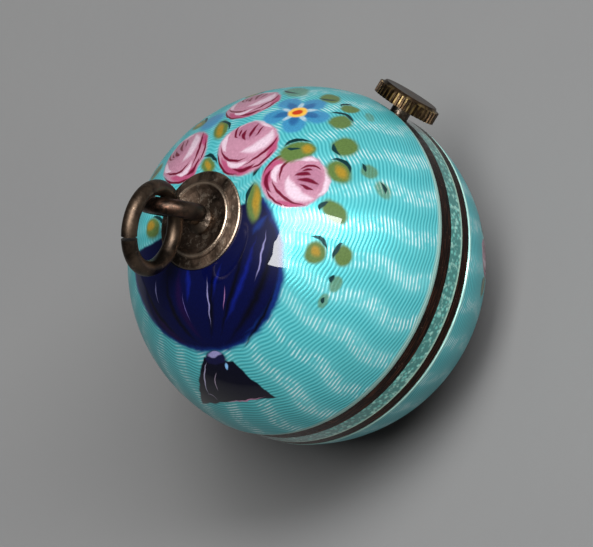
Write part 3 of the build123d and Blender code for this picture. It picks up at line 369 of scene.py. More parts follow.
LEAVES = [
    dict(centre=(27.3, 18.7), size=(5.4, 2.9), turn=62, light=((26.8, 18.6), (3.6, 1.2), 62),
         shadow=((29.2, 23.5), (30.6, 19.5), (28.2, 14.5), 0.75)),
    dict(centre=(15.7, 10.5), size=(3.4, 2.6), turn=75, light=((15.6, 10.6), (1.9, 1.0), 70),
         shadow=((17.2, 14.5), (18.9, 11.5), (17.6, 7.4), 0.8)),
    dict(centre=(15.7, -15.2), size=(6.8, 2.7), turn=40, light=((16.2, -15.8), (4.6, 1.2), 40),
         shadow=((12.4, -14.6), (16.4, -11.4), (21.2, -11.2), 0.75)),
    dict(centre=(37.0, -12.2), size=(5.4, 4.0), turn=-20, light=None,
         shadow=((35.2, -8.2), (40.6, -8.8), (43.2, -12.8), 1.0)),
    dict(centre=(40.3, -14.4), size=(2.9, 2.9), turn=0, light=((40.4, -14.3), (1.7, 1.8), 0),
         shadow=((35.8, -8.8), (37.2, -11.0), (38.8, -12.6), 0.7)),
    dict(centre=(57.5, -9.7), size=(4.3, 3.8), turn=20, light=None,
         shadow=((58.0, -3.2), (61.6, -6.4), (60.8, -12.4), 1.1)),
    dict(centre=(65.6, -3.2), size=(3.3, 3.2), turn=0, light=None,
         shadow=((63.6, -0.4), (66.0, 0.8), (68.2, -1.0), 1.1)),
    dict(centre=(64.0, 7.6), size=(4.8, 3.6), turn=70, light=None,
         shadow=((60.6, 9.6), (62.4, 6.4), (65.4, 5.4), 1.0)),
    dict(centre=(69.2, -10.2), size=(3.2, 1.5), turn=70, light=None, shadow=None, strength=0.55),
    dict(centre=(50.3, -21.0), size=(4.9, 4.4), turn=30, light=None,
         shadow=((49.0, -17.6), (46.4, -20.2), (46.6, -23.6), 0.95)),
    dict(centre=(41.3, -28.0), size=(5.0, 4.1), turn=75, light=((41.7, -28.7), (2.6, 1.7), 75),
         shadow=((43.2, -22.6), (45.4, -26.4), (43.2, -31.2), 1.0)),
    dict(centre=(49.3, -34.0), size=(3.2, 2.8), turn=60, light=None,
         shadow=((49.8, -29.6), (49.2, -31.8), (47.8, -33.6), 0.9), strength=0.8),
    dict(centre=(47.3, -42.2), size=(3.9, 2.7), turn=70, light=None,
         shadow=((49.0, -39.0), (48.4, -41.8), (47.0, -44.4), 0.85), strength=0.7),
    dict(centre=(29.0, -37.6), size=(5.0, 3.4), turn=80, light=None,
         shadow=((25.8, -34.2), (28.2, -33.2), (30.4, -34.0), 1.2)),
    dict(centre=(13.7, -41.7), size=(4.1, 3.3), turn=15, light=((14.2, -41.6), (1.8, 1.3), 30),
         shadow=((17.4, -37.6), (18.6, -40.6), (16.4, -44.2), 0.95)),
    dict(centre=(18.3, -49.2), size=(3.8, 3.1), turn=20, light=None,
         shadow=((14.8, -47.4), (18.6, -46.2), (21.6, -46.6), 1.0)),
    dict(centre=(8.4, -52.6), size=(3.1, 1.9), turn=5, light=None,
         shadow=((7.8, -51.4), (9.4, -50.7), (11.2, -51.0), 1.1), strength=0.75),
    dict(centre=(1.0, -52.6), size=(3.0, 1.4), turn=0, light=None,
         shadow=((0.0, -52.7), (1.3, -52.3), (2.6, -52.6), 0.75), strength=0.7),
    dict(centre=(57.2, 21.0), size=(6.8, 4.4), turn=80, light=None,
         shadow=((54.4, 26.0), (55.0, 22.0), (57.6, 17.6), 0.8), strength=0.7),
    dict(centre=(-12.2, 17.4), size=(3.8, 3.2), turn=60, light=((-12.0, 18.8), (1.5, 1.6), 0),
         shadow=((-9.4, 20.0), (-8.2, 17.0), (-9.6, 13.6), 0.9)),
    dict(centre=(24.0, 37.0), size=(4.6, 3.0), turn=100, light=((24.0, 37.6), (2.4, 1.1), 100),
         shadow=((26.6, 40.6), (27.2, 37.0), (25.6, 33.4), 0.8)),
    dict(centre=(2.0, 37.0), size=(4.6, 2.8), turn=130, light=None,
         shadow=((-1.2, 41.0), (1.2, 37.6), (5.2, 34.0), 0.8)),
    dict(centre=(46.0, 38.5), size=(4.6, 3.2), turn=60, light=((46.0, 38.4), (2.4, 1.2), 60),
         shadow=((49.4, 41.6), (49.6, 37.6), (47.0, 34.6), 0.8)),
]
ROSES = [
    dict(centre=(13.2, 24.0), radius=10.3, heading=84),
    dict(centre=(42.0, 24.0), radius=10.2, heading=62),
    dict(centre=(28.3, 2.4), radius=11.0, heading=44),
    dict(centre=(29.3, -20.5), radius=10.6, heading=-46, heart=0.40, boldness=1.35),
]


def forget_me_not(painting, centre):
    """Five blue petals round an orange eye, with pale notches between them."""
    def around(distance, turn):
        angle = math.radians(turn)
        return (centre[0] + distance * math.cos(angle), centre[1] + distance * math.sin(angle))

    for turn in range(10, 360, 72):
        painting.spot(around(7.2, turn), (4.4, 4.1), turn, SKY, edge=0.5, body=True)
        painting.spot(around(5.0, turn), (2.8, 1.5), turn, SKY_SHADOW, edge=0.9)
    for turn in range(46, 360, 72):
        painting.spot(around(4.2, turn), (1.9, 0.8), turn, PALE_BLUE, edge=1.0)
    painting.spot(centre, (3.2, 3.0), 0, YOLK, edge=0.4)
    painting.spot(centre, (1.6, 1.5), 0, RUST, edge=0.5)


# (start, middle, end, half width, colour) of the urn's gadroons and lights
URN_STROKES = [
    ((-38.5, -18.0), (-37.8, -4.0), (-31.0, 9.0), 2.2, VIOLET),
    ((-34.0, -23.0), (-27.0, -10.0), (-17.0, -3.0), 2.6, VIOLET),
    ((-24.0, -34.0), (-8.0, -38.6), (9.0, -32.0), 1.5, URN_EDGE),
    ((-26.0, -22.6), (-16.0, -19.4), (-5.0, -17.6), 1.3, BRIGHT_COBALT),
    ((-22.0, -27.6), (-8.0, -27.4), (9.0, -22.6), 1.5, BRIGHT_COBALT),
    ((-24.0, -12.0), (-19.0, -9.0), (-14.0, -4.0), 1.6, BRIGHT_COBALT),
    ((6.0, -22.0), (11.0, -22.0), (15.4, -22.4), 1.8, URN_EDGE),
    ((-34.0, -24.4), (-20.0, -20.6), (-8.0, -14.2), 1.9, NAVY),
    ((-31.0, -27.0), (-12.0, -25.6), (7.0, -20.2), 1.5, NAVY),
    ((-29.0, -30.0), (-10.0, -33.6), (13.0, -26.4), 2.3, NAVY),
    ((-36.0, -22.0), (-31.0, -8.0), (-23.0, -0.5), 2.0, NAVY),
    ((-32.0, -34.0), (-15.0, -38.0), (2.0, -36.0), 1.2, NAVY),
    ((-37.6, -14.0), (-34.5, 2.0), (-27.0, 14.0), 1.3, NAVY),
    ((-28.2, -23.2), (-20.0, -19.4), (-13.4, -14.8), 0.42, URN_LIGHT),
    ((-6.4, -30.8), (3.0, -28.6), (11.0, -24.6), 0.52, URN_LIGHT),
    ((-19.8, -25.6), (-15.6, -24.2), (-11.6, -22.3), 0.30, rgb(132, 92, 134)),
    ((-31.8, 0.2), (-28.6, 3.2), (-25.0, 4.6), 0.40, rgb(96, 96, 136)),
    ((-30.0, -16.0), (-26.6, -11.6), (-22.0, -8.4), 0.24, rgb(84, 76, 130)),
]
BOWL_CENTRE = (-10.4, -6.4)
BOWL_SIZE = (30.8, 34.2)  # half sizes
URN_FOOT = [(-66.0, -15.8), (-43.8, -49.6), (-35.4, -33.0), (-39.6, -21.8)]
FOOT_STROKES = [
    ((-57.6, -22.2), (-49.0, -21.8), (-40.4, -23.4), 0.42, rgb(142, 138, 162)),
    ((-52.6, -27.2), (-48.0, -26.4), (-43.0, -26.9), 0.32, rgb(124, 112, 128)),
    ((-57.0, -29.0), (-51.2, -38.0), (-44.6, -46.4), 0.38, rgb(156, 112, 138)),
    ((-58.6, -25.8), (-56.4, -24.0), (-57.0, -21.6), 0.28, rgb(120, 112, 132)),
]
# The rim of the urn's bowl runs through the pole, square to the way that its flowers stand
URN_UP = Vector((0.667, 0.744, 0))


def urn(painting):
    """A cobalt urn: gadrooned bowl, knop and spreading foot."""
    graph = painting.graph
    below_rim = graph.smooth(graph.vector("DOT_PRODUCT", painting.where, URN_UP), 0.4, -0.8)
    first, second = measure(BOWL_CENTRE, 0, BOWL_SIZE)
    for size, colour in ((1.0, URN_EDGE), (0.96, COBALT)):
        inside = graph.group(ELLIPSE, painting.where, first, second, size + 0.035, size - 0.035)
        painting.lay(graph.times(inside, below_rim), colour, body=True)
    for start, middle, end, width, colour in URN_STROKES:
        painting.stroke(start, middle, end, width, colour, edge=1.0)
    painting.block(URN_FOOT, rgb(6, 6, 22))
    for start, middle, end, width, colour in FOOT_STROKES:
        painting.stroke(start, middle, end, width, colour, edge=0.6)
    painting.spot((-37.6, -26.4), (4.6, 2.4), -54, rgb(16, 16, 48), edge=0.4, body=True)
    painting.spot((-36.4, -26.0), (2.9, 0.9), -54, URN_LIGHT, edge=0.5)
    painting.spot((-38.8, -30.8), (1.3, 0.5), 20, rgb(120, 170, 214), edge=0.8)


# ==== Enamel ====
LINE_SPACING = 1.26  # degrees between engraved lines
WAVES = 26  # waves round each line
WAVE_HEIGHT = 0.46  # degrees
LINE_WAVER = 0.7  # degrees by which the lines stray
LINE_DEPTH = 0.013 * MM
BRUSH_WOBBLE = 1.5  # degrees by which painted edges stray
LIGHT_TURQUOISE = rgb(106, 203, 207)
DEEP_TURQUOISE = rgb(40, 138, 147)
THIN_RIM_HIGHLIGHT = rgb(176, 218, 206)
# Colours of painted light on the engraving: a sheen where the waves lean one way, and glints on their ridges
ARM_SHEEN = rgb(146, 226, 228)
PAINTED_GLINT = rgb(222, 244, 244)
CLOUD = rgb(74, 160, 160)
# Heights from the ball's middle between which the enamel goes pale at its rim: it thins out there, and the
# pale edge is also a painted highlight
DOME_EDGE = (0.95 * MM, 1.35 * MM)
BEZEL_EDGE = (2.75 * MM, 3.05 * MM)


def engine_turning(graph, angle, azimuth):
    """Wavy engraved rings: their height, and how far their waves lean one way. Both are 0 to 1."""
    drift = graph.times(graph.math("SINE", graph.times(angle, 0.27)), 0.55)
    phase = graph.math("ADD", graph.times(azimuth, WAVES), drift)
    wave = graph.times(graph.math("SINE", phase), WAVE_HEIGHT)
    waver = graph.times(graph.noise(graph.place(), 900, 2), LINE_WAVER)
    line = graph.math("ADD", graph.math("ADD", angle, wave), waver)
    row = graph.times(line, 2 * math.pi / LINE_SPACING)
    height = graph.math("MULTIPLY_ADD", graph.math("SINE", row), 0.5, 0.5)
    lean = graph.math("MULTIPLY_ADD", graph.math("COSINE", phase), 0.5, 0.5)
    return height, lean


def across_lines(graph):
    """The way across the engraved lines, in which they spread the light."""
    out = graph.vector("SUBTRACT", graph.place(), CENTRE)
    around = graph.vector("CROSS_PRODUCT", (0.0, 0.0, 1.0), out)
    turned = graph.node("VectorTransform", graph.vector("CROSS_PRODUCT", around, out),
                        vector_type="VECTOR", convert_from="OBJECT", convert_to="WORLD")
    return turned.outputs[0]


def bare_ground(graph, angle, height, lean):
    """The colour of the enamel where nothing is painted on it, with a painted sheen and painted glints on
    the ridges of its engraving; and where those glints are.
    """
    contrast = graph.span(angle, 24, 52, 0.35, 0.66)
    shade = graph.math("MULTIPLY_ADD", graph.math("SUBTRACT", height, 0.5), contrast, 0.42)
    ground = graph.mix(shade, DEEP_TURQUOISE, LIGHT_TURQUOISE)
    # Painted sheen: brighter where the waves lean one way, more so towards the rim
    arm_sheen = graph.times(lean, graph.span(angle, 40, 80, 0.16, 0.34))
    arm_sheen = graph.times(arm_sheen, graph.span(graph.noise(graph.place(), 170, 2), 0.35, 0.65, 0.3, 1.2))
    ground = graph.mix(arm_sheen, ground, ARM_SHEEN)
    # Painted glints on the ridges of the engraving
    ridge_glints = graph.times(graph.smooth(height, 0.55, 0.95), graph.smooth(lean, 0.45, 0.95))
    ridge_glints = graph.times(ridge_glints, graph.smooth(graph.noise(graph.place(), 1600, 2), 0.36, 0.60))
    ridge_glints = graph.times(ridge_glints, graph.span(angle, 30, 62, 0.15, 0.9))
    ground = graph.mix(ridge_glints, ground, PAINTED_GLINT)
    cloud = graph.noise(graph.place(), 260, 3)
    return graph.mix(graph.span(cloud, 0.3, 0.7, 0.0, 0.3), ground, CLOUD), ridge_glints


def brush_streaks(graph, where, colour):
    """The colour, lighter and darker along the bristles' tracks."""
    bristles = graph.noise(graph.vector("MULTIPLY", where, (1.0, 2.6, 1.0)), 1.1, 3)
    streaks = graph.span(bristles, 0.3, 0.7, 0.80, 1.16)
    return graph.vector("MULTIPLY", colour, graph.join(streaks, streaks, streaks))


def enamel(name, up, decorate, edge_light):
    """Translucent turquoise over engine-turned silver, painted under a clear coat."""
    graph = new_material(name)
    where, angle, azimuth, z = ball_degrees(graph, up)
    height, lean = engine_turning(graph, angle, azimuth)
    ground, ridge_glints = bare_ground(graph, angle, height, lean)
    low, high = edge_light
    # Pale towards the rim: thin enamel, with a painted highlight along its edge
    edge = graph.smooth(graph.times(z, up), high, low)
    ground = graph.mix(graph.times(edge, 0.85), ground, THIN_RIM_HIGHLIGHT)
    wobble = graph.noise(where, 0.26, 1.2, output="Color")
    shift = graph.vector("SUBTRACT", wobble, (0.5, 0.5, 0.5))
    shift = graph.vector("MULTIPLY", shift, (BRUSH_WOBBLE, BRUSH_WOBBLE, 0))
    painting = Painting(graph, graph.vector("ADD", where, shift), ground)
    decorate(painting)
    streaked = brush_streaks(graph, where, painting.colour)
    bare = graph.math("SUBTRACT", 1.0, painting.cover)
    return graph.finish(
        Base_Color=graph.mix(painting.cover, painting.colour, streaked),
        Metallic=graph.times(bare, graph.math("MULTIPLY_ADD", ridge_glints, 0.12, 0.30)),
        Anisotropic=0.75,
        Tangent=across_lines(graph),
        Roughness=graph.span(bare, 0, 1, 0.45, 0.33),
        Normal=graph.bump(height, LINE_DEPTH, bare),
        Specular_IOR_Level=0.1,
        Coat_Weight=graph.span(bare, 0, 1, 0.72, 0.16),
        Coat_Roughness=0.02,
        Coat_Normal=graph.bump(graph.noise(graph.place(), 330, 2), 0.006 * MM),
    )


def decorate_dome(painting):
    """The urn first, then the flowers and leaves over it."""
    urn(painting)
    painting.spot((27.6, 29.4), (5.0, 5.2), 0, SKY, edge=0.7, body=True)
    forget_me_not(painting, (49.3, 3.7))
    painting.stroke((21.6, -8.6), (24.3, -8.0), (27.2, -8.2), 1.1, LEAF_SHADOW)
    for place in ROSES:
        rose(painting, **place)
    for place in LEAVES:
        leaf(painting, **place)


SPRAYS = 3  # small sprays round the lower half
SPRAY_AZIMUTH = -48.5
SPRAY_ANGLE = 57.5  # degrees from the lower pole
SPRAY_ROSE = 7.4  # its radius in degrees


def decorate_bezel(painting):
    """One rose and its leaves, repeated by folding the azimuth."""
    graph = painting.graph
    x, y, _ = graph.parts(painting.where)
    azimuth = graph.math("SUBTRACT", graph.math("ARCTAN2", y, x), math.radians(SPRAY_AZIMUTH))
    third = 2 * math.pi / SPRAYS
    folded = graph.math("WRAP", azimuth, third / 2, -third / 2)
    angle = graph.reach(x, y)
    painting.where = graph.join(graph.times(angle, graph.math("COSINE", folded)),
                                graph.times(angle, graph.math("SINE", folded)), 1)
    for side in (1, -1):
        dark = ((SPRAY_ANGLE + 2, 8.5 * side), (SPRAY_ANGLE + 3, 12 * side), (SPRAY_ANGLE, 15.6 * side), 0.8)
        leaf(painting, (SPRAY_ANGLE, 11.5 * side), (4.6, 2.8), 80 * side, shadow=dark)
    lower = (SPRAY_ANGLE - 8.4, 4)
    leaf(painting, lower, (3.8, 2.4), 30, light=(lower, (2.0, 1.0), 30))
    rose(painting, (SPRAY_ANGLE, 0), SPRAY_ROSE, 35)


def speckled_enamel():
    """The thin band of enamel between the case's two lips: greener, over punched dots."""
    graph = new_material("band_enamel")
    z = graph.parts(graph.vector("SUBTRACT", graph.place(), CENTRE))[2]
    dots = graph.cells(graph.place(), 2900)
    glints = graph.smooth(graph.noise(graph.place(), 2600, 3), 0.52, 0.70)
    ground = graph.mix(graph.smooth(dots, 0.55, 0.15), rgb(58, 128, 122), rgb(108, 190, 178))
    ground = graph.mix(graph.times(glints, 0.7), ground, rgb(176, 232, 216))
    # Pale along the lower edge: thin enamel, and a painted highlight
    rim = graph.smooth(z, -1.55 * MM, -1.72 * MM)
    ground = graph.mix(graph.times(rim, 0.8), ground, rgb(176, 214, 192))
    return graph.finish(Base_Color=ground, Metallic=0.45, Roughness=0.34,
                        Normal=graph.bump(graph.smooth(dots, 0.6, 0.1), 0.03 * MM),
                        Coat_Weight=1.0, Coat_Roughness=0.03)


# ==== Metals ====
def patinated(name, deep, brown, worn, wear=0.5, pits=0.02, mask=None):
    """Tarnished metal: dark in patches, brown between, bright where it is rubbed; pits in millimetres."""
    graph = new_material(name)
    place = graph.place()
    patches = graph.noise(place, 420, 6, 0.62, 0.4)
    rubs = graph.noise(place, 1500, 5, 0.7)
    fine = graph.noise(place, 5200, 3, 0.6)
    colour = graph.mix(graph.smooth(patches, 0.36, 0.62), deep, brown)
    rubbed = graph.times(graph.smooth(rubs, 0.62 - 0.2 * wear, 0.86 - 0.2 * wear), 0.9)
    # A mask adds more bright places; on the cup and the bow these are partly painted highlights
    if mask:
        rubbed = graph.math("MAXIMUM", rubbed, mask(graph, place))
    colour = graph.mix(rubbed, colour, worn)
    roughness = graph.math("MULTIPLY_ADD", patches, 0.45, 0.22)
    roughness = graph.math("SUBTRACT", roughness, graph.times(rubbed, 0.10))
    height = graph.math("ADD", graph.times(rubs, 0.6), graph.times(fine, 0.4))
    return graph.finish(Base_Color=colour, Metallic=1.0, Roughness=roughness,
                        Normal=graph.bump(height, pits * MM))


def cup_wear(graph, place):
    """Bright on the raised ring and, duller, on the rim, glittering in the dish: painted highlights and
    painted glitter, with some wear.
    """
    x, y, _ = graph.parts(place)
    share = graph.math("DIVIDE", graph.reach(x, y), CUP_RADIUS)
    off = graph.math("ABSOLUTE", graph.math("SUBTRACT", share, 0.745))
    ring = graph.smooth(off, 0.05, 0.0)
    rim = graph.times(graph.smooth(share, 0.965, 0.99), 0.4)
    grit = graph.smooth(graph.noise(place, 2300, 4, 0.7), 0.53, 0.60)
    dish = graph.times(grit, graph.smooth(share, 0.62, 0.5))
    return graph.times(graph.math("MAXIMUM", graph.math("MAXIMUM", ring, rim), dish), 0.8)


def bow_wear(graph, place):
    """A little copper shows where the ring has rubbed the bow's top; it also stands in for a painted
    highlight there.
    """
    z = graph.parts(place)[2]
    top = graph.smooth(z, 0.2 * MM, 1.4 * MM)
    rubbed = graph.smooth(graph.noise(place, 1700, 4, 0.7), 0.44, 0.64)
    return graph.times(graph.times(top, rubbed), 0.45)


def brushed(name, colour, light, direction, spacing, roughness=0.28):
    """Machined metal with fine parallel graining."""
    graph = new_material(name)
    place = graph.place()
    along = graph.vector("MULTIPLY", place, direction)
    grain = graph.noise(along, spacing, 3, 0.6)
    cloud = graph.noise(place, 300, 3)
    tone = graph.mix(graph.span(grain, 0.3, 0.7, 0, 1), colour, light)
    tone = graph.mix(graph.times(cloud, 0.25), tone, tuple(c * 0.5 for c in colour))
    return graph.finish(Base_Color=tone, Metallic=1.0,
                        Roughness=graph.span(grain, 0.3, 0.7, roughness - 0.07, roughness + 0.1),
                        Normal=graph.bump(grain, 0.004 * MM))


STRIPE_WIDTH = 1.1 * MM


def striped_gilt(name):
    """Gilt bridges with broad curved stripes, as cut by a rose engine."""
    graph = new_material(name)
    place = graph.place()
    x, y, _ = graph.parts(place)
    across = graph.math("ADD", x, graph.times(y, 0.35))
    lane = graph.math("SINE", graph.times(across, 2 * math.pi / STRIPE_WIDTH))
    fine = graph.noise(graph.vector("MULTIPLY", place, (6, 1, 1)), 2600, 3)
    stripe = graph.math("MULTIPLY_ADD", lane, 0.5, 0.5)
    tone = graph.mix(stripe, rgb(196, 150, 74), rgb(228, 192, 118))
    tone = graph.mix(graph.span(graph.noise(place, 500, 3), 0.4, 0.7, 0, 0.35), tone, rgb(150, 106, 50))
    height = graph.math("ADD", graph.times(stripe, 0.4), fine)
    return graph.finish(Base_Color=tone, Metallic=1.0, Roughness=graph.span(stripe, 0, 1, 0.24, 0.40),
                        Normal=graph.bump(height, 0.006 * MM))


def pearled_gilt(name):
    """Gilt plates ground all over with small overlapping circles."""
    graph = new_material(name)
    place = graph.place()
    cells = graph.cells(place, 1250)
    rings = graph.math("SINE", graph.times(cells, 26))
    tone = graph.mix(graph.span(cells, 0, 0.7, 0, 1), rgb(224, 186, 112), rgb(168, 124, 60))
    return graph.finish(Base_Color=tone, Metallic=1.0, Roughness=graph.span(rings, -1, 1, 0.24, 0.42),
                        Normal=graph.bump(graph.math("MULTIPLY_ADD", rings, 0.5, 0.5), 0.006 * MM))


def jewel(name, colour):
    """Polished ruby, deeper and lighter in places."""
    graph = new_material(name)
    depth = graph.noise(graph.place(), 1800, 2)
    tone = graph.mix(depth, colour, tuple(min(1, c * 2.2) for c in colour))
    return graph.finish(Base_Color=tone, Roughness=0.06, Transmission_Weight=0.35, IOR=1.76, Coat_Weight=0.6)


def clear_crystal():
    """Polished crystal: sees through face on, mirrors at a low angle, with faint hairline scratches."""
    graph = new_material("watch_crystal")
    scratches = graph.noise(graph.vector("MULTIPLY", graph.place(), (9, 0.7, 1)), 1300, 2, 0.6)
    gloss = graph.node("BsdfGlossy")
    graph.feed(gloss.inputs["Color"], (0.95, 0.97, 0.98))
    graph.feed(gloss.inputs["Roughness"], graph.span(scratches, 0.45, 0.75, 0.01, 0.10))
    clear = graph.node("BsdfTransparent", (0.97, 0.985, 0.98))
    edge = graph.node("LayerWeight")
    graph.feed(edge.inputs["Blend"], 0.12)
    blend = graph.node("MixShader", edge.outputs["Fresnel"], clear.outputs[0], gloss.outputs[0])
    graph.tree.links.new(blend.outputs[0], graph.node("OutputMaterial").inputs[0])
    return graph.material


def dial_enamel():
    """White fired enamel with a faint orange-peel surface, and painted shade towards its edge."""
    graph = new_material("dial_white")
    x, y, _ = graph.parts(graph.place())
    share = graph.math("DIVIDE", graph.reach(x, y), DIAL_RADIUS)
    # Painted shade, darker towards the dial's edge
    tone = graph.mix(graph.smooth(share, 0.72, 1.02), rgb(240, 238, 230), rgb(218, 212, 196))
    stains = graph.times(graph.noise(graph.place(), 900, 4), 0.12)
    tone = graph.mix(stains, tone, rgb(206, 198, 178))
    return graph.finish(Base_Color=tone, Roughness=0.2, Coat_Weight=1.0, Coat_Roughness=0.05,
                        Normal=graph.bump(graph.noise(graph.place(), 1400, 2), 0.004 * MM))


def black_enamel():
    """The black of the figures."""
    graph = new_material("figure_black")
    tone = graph.mix(graph.noise(graph.place(), 3000, 3), rgb(10, 10, 14), rgb(34, 32, 38))
    return graph.finish(Base_Color=tone, Roughness=0.25, Coat_Weight=0.6)


def blued(name):
    """Heat-blued steel, from violet to bright blue."""
    graph = new_material(name)
    place = graph.place()
    heat = graph.noise(place, 380, 2)
    tone = graph.mix(graph.span(heat, 0.35, 0.65, 0, 1), rgb(24, 36, 118), rgb(58, 84, 190))
    grain = graph.noise(place, 4000, 2)
    return graph.finish(Base_Color=tone, Metallic=1.0, Roughness=graph.span(grain, 0.3, 0.7, 0.16, 0.30))


def coined_brass():
    """The crown: brown brass, brighter in the cuts of its rim."""
    graph = new_material("crown_metal")
    place = graph.place()
    _, y, z = graph.parts(graph.vector("SUBTRACT", place, CENTRE))
    share = graph.math("DIVIDE", graph.reach(0.0, y, z), CROWN_RADIUS)
    cuts = graph.smooth(share, 0.985, 0.93)
    on_rim = graph.smooth(share, 0.86, 0.92)
    patches = graph.noise(place, 620, 5, 0.6)
    tone = graph.mix(graph.smooth(patches, 0.38, 0.62), rgb(44, 35, 27), rgb(84, 66, 48))
    dirt = graph.smooth(graph.noise(place, 1900, 4), 0.4, 0.6)
    glow = graph.times(graph.times(cuts, on_rim), dirt)
    tone = graph.mix(graph.times(glow, 0.8), tone, rgb(158, 136, 92))
    rubbed = graph.smooth(graph.noise(place, 2600, 4, 0.7), 0.60, 0.76)
    tone = graph.mix(graph.times(rubbed, 0.7), tone, rgb(168, 146, 118))
    return graph.finish(Base_Color=tone, Metallic=1.0, Roughness=graph.span(patches, 0.3, 0.7, 0.30, 0.48),
                        Normal=graph.bump(graph.noise(place, 3600, 4, 0.6), 0.02 * MM))


def case_band():
    """The case's metal: dark tarnish with copper streaks on its bare lips, gilt on the inside."""
    graph = new_material("case_band")
    place = graph.place()
    _, _, azimuth, z = ball_degrees(graph)
    lane = graph.join(graph.times(azimuth, 3.0), graph.times(z, 5200.0), 0.0)
    streaks = graph.noise(lane, 2.2, 4, 0.65)
    grit = graph.noise(place, 3000, 4, 0.65)
    tone = graph.mix(graph.smooth(streaks, 0.45, 0.70), rgb(34, 27, 24), rgb(98, 58, 42))
    tone = graph.mix(graph.times(graph.smooth(grit, 0.62, 0.78), 0.7), tone, rgb(168, 132, 112))
    reach = graph.vector("LENGTH", graph.vector("SUBTRACT", place, CENTRE))
    inside = graph.smooth(graph.math("DIVIDE", reach, BALL_RADIUS), 0.935, 0.915)
    gilt = graph.mix(graph.noise(place, 700, 4), rgb(118, 96, 66), rgb(176, 148, 104))
    tone = graph.mix(inside, tone, gilt)
    return graph.finish(Base_Color=tone, Metallic=1.0, Roughness=graph.span(grit, 0.3, 0.7, 0.26, 0.46),
                        Normal=graph.bump(graph.math("ADD", streaks, grit), 0.012 * MM))


# ==== Which material each piece has ====
MATERIALS = {
    "dome_enamel": enamel("dome_enamel_paint", 1, decorate_dome, DOME_EDGE),
    "bezel_enamel": enamel("bezel_enamel_paint", -1, decorate_bezel, BEZEL_EDGE),
    "middle_enamel": speckled_enamel(),
    "crystal": clear_crystal(),
    "dial": dial_enamel(),
    "crown": coined_brass(),
    # The cup's mask paints highlights on its raised ring and rim, and glitter in its dish
    "pendant_cup": patinated("cup_metal", rgb(58, 48, 40), rgb(126, 105, 89), rgb(212, 192, 170),
                             wear=0.45, pits=0.06, mask=cup_wear),
    # The bow's mask adds copper wear on its top, partly a painted highlight
    "bow_loop": patinated("bow_metal", rgb(34, 28, 24), rgb(70, 58, 49), rgb(134, 96, 78),
                          wear=0.30, pits=0.03, mask=bow_wear),
    "jump_ring": patinated("ring_metal", rgb(44, 37, 32), rgb(90, 75, 62), rgb(150, 128, 108), wear=0.35),
}
band = case_band()
small_silver = patinated("small_silver", rgb(52, 44, 38), rgb(112, 98, 84), rgb(186, 166, 148))
striped = striped_gilt("striped_gilt")
pearled = pearled_gilt("pearled_gilt")
wheel_brass = brushed("wheel_brass", rgb(190, 146, 72), rgb(230, 196, 120), (1, 8, 1), 1500, 0.22)
barrel_brass = brushed("barrel_brass", rgb(182, 138, 66), rgb(222, 186, 108), (5, 5, 0.6), 1300, 0.30)
steel = brushed("grained_steel", rgb(120, 122, 126), rgb(196, 198, 202), (1, 9, 1), 1700, 0.20)
polished = brushed("polished_steel", rgb(150, 152, 156), rgb(214, 216, 220), (7, 1, 1), 2400, 0.12)
screw_blue = blued("blued_steel")
ruby = jewel("ruby", rgb(150, 14, 44))
GROUPS = [
    (band, ["case_middle", "bezel_shell", "dome_shell", "hinge_pin"]),
    (small_silver, ["bow_post", "bow_nut", "crown_tube"]),
    (striped, ["barrel_bridge", "train_bridge", "balance_cock", "pallet_bridge"]),
    (pearled, ["mainplate", "rehaut_ring"]),
    (wheel_brass, ["center_wheel", "third_wheel", "fourth_wheel", "balance_wheel", "cannon_pinion",
                   "minute_wheel", "hour_wheel"]),
    (barrel_brass, ["barrel", "barrel_cover"]),
    (steel, ["winding_stem", "winding_pinion", "sliding_clutch", "setting_lever", "yoke", "crown_wheel",
             "ratchet_wheel", "barrel_arbor", "escape_wheel", "click"]),
    (polished, ["ratchet_screw", "crown_wheel_core", "case_screws", "pallet_fork", "click_spring"]),
    (screw_blue, ["bridge_screws", "hairspring", "mainspring", "hour_hand", "minute_hand"]),
    (ruby, ["train_jewels", "pallet_stones"]),
]
for material, names in GROUPS:
    for name in names:
        MATERIALS[name] = material
for name, piece in nodes.items():
    piece.data.materials.clear()
    piece.data.materials.append(MATERIALS[name])


# ==== Figures on the dial ====
FIGURE_HEIGHT = 1.75 * MM
FIGURE_REACH = 0.74  # share of the dial's radius
MARK_REACH = 0.93
FIGURE_RELIEF = 0.008 * MM
FACING_DOWN = Matrix(((0, 1, 0), (1, 0, 0), (0, 0, -1))).to_4x4()  # with the tops of the figures towards +X


def hour_figure(hour, face):
    """The mesh of one hour's figure in its place; twelve o'clock is towards +X, where the crown is."""
    text = bpy.data.curves.new(f"hour_{hour}", "FONT")
    text.body = str(hour)
    text.size = FIGURE_HEIGHT
    text.align_x = "CENTER"
    text.align_y = "CENTER"
    text.extrude = FIGURE_RELIEF
    holder = bpy.data.objects.new(f"hour_{hour}", text)
    flat = bpy.data.meshes.new_from_object(holder)
    bpy.data.objects.remove(holder)
    angle = math.radians(30 * hour)
    reach = DIAL_RADIUS * FIGURE_REACH
    spot = Matrix.Translation((math.cos(angle) * reach, math.sin(angle) * reach, face))
    flat.transform(spot @ FACING_DOWN)
    return flat


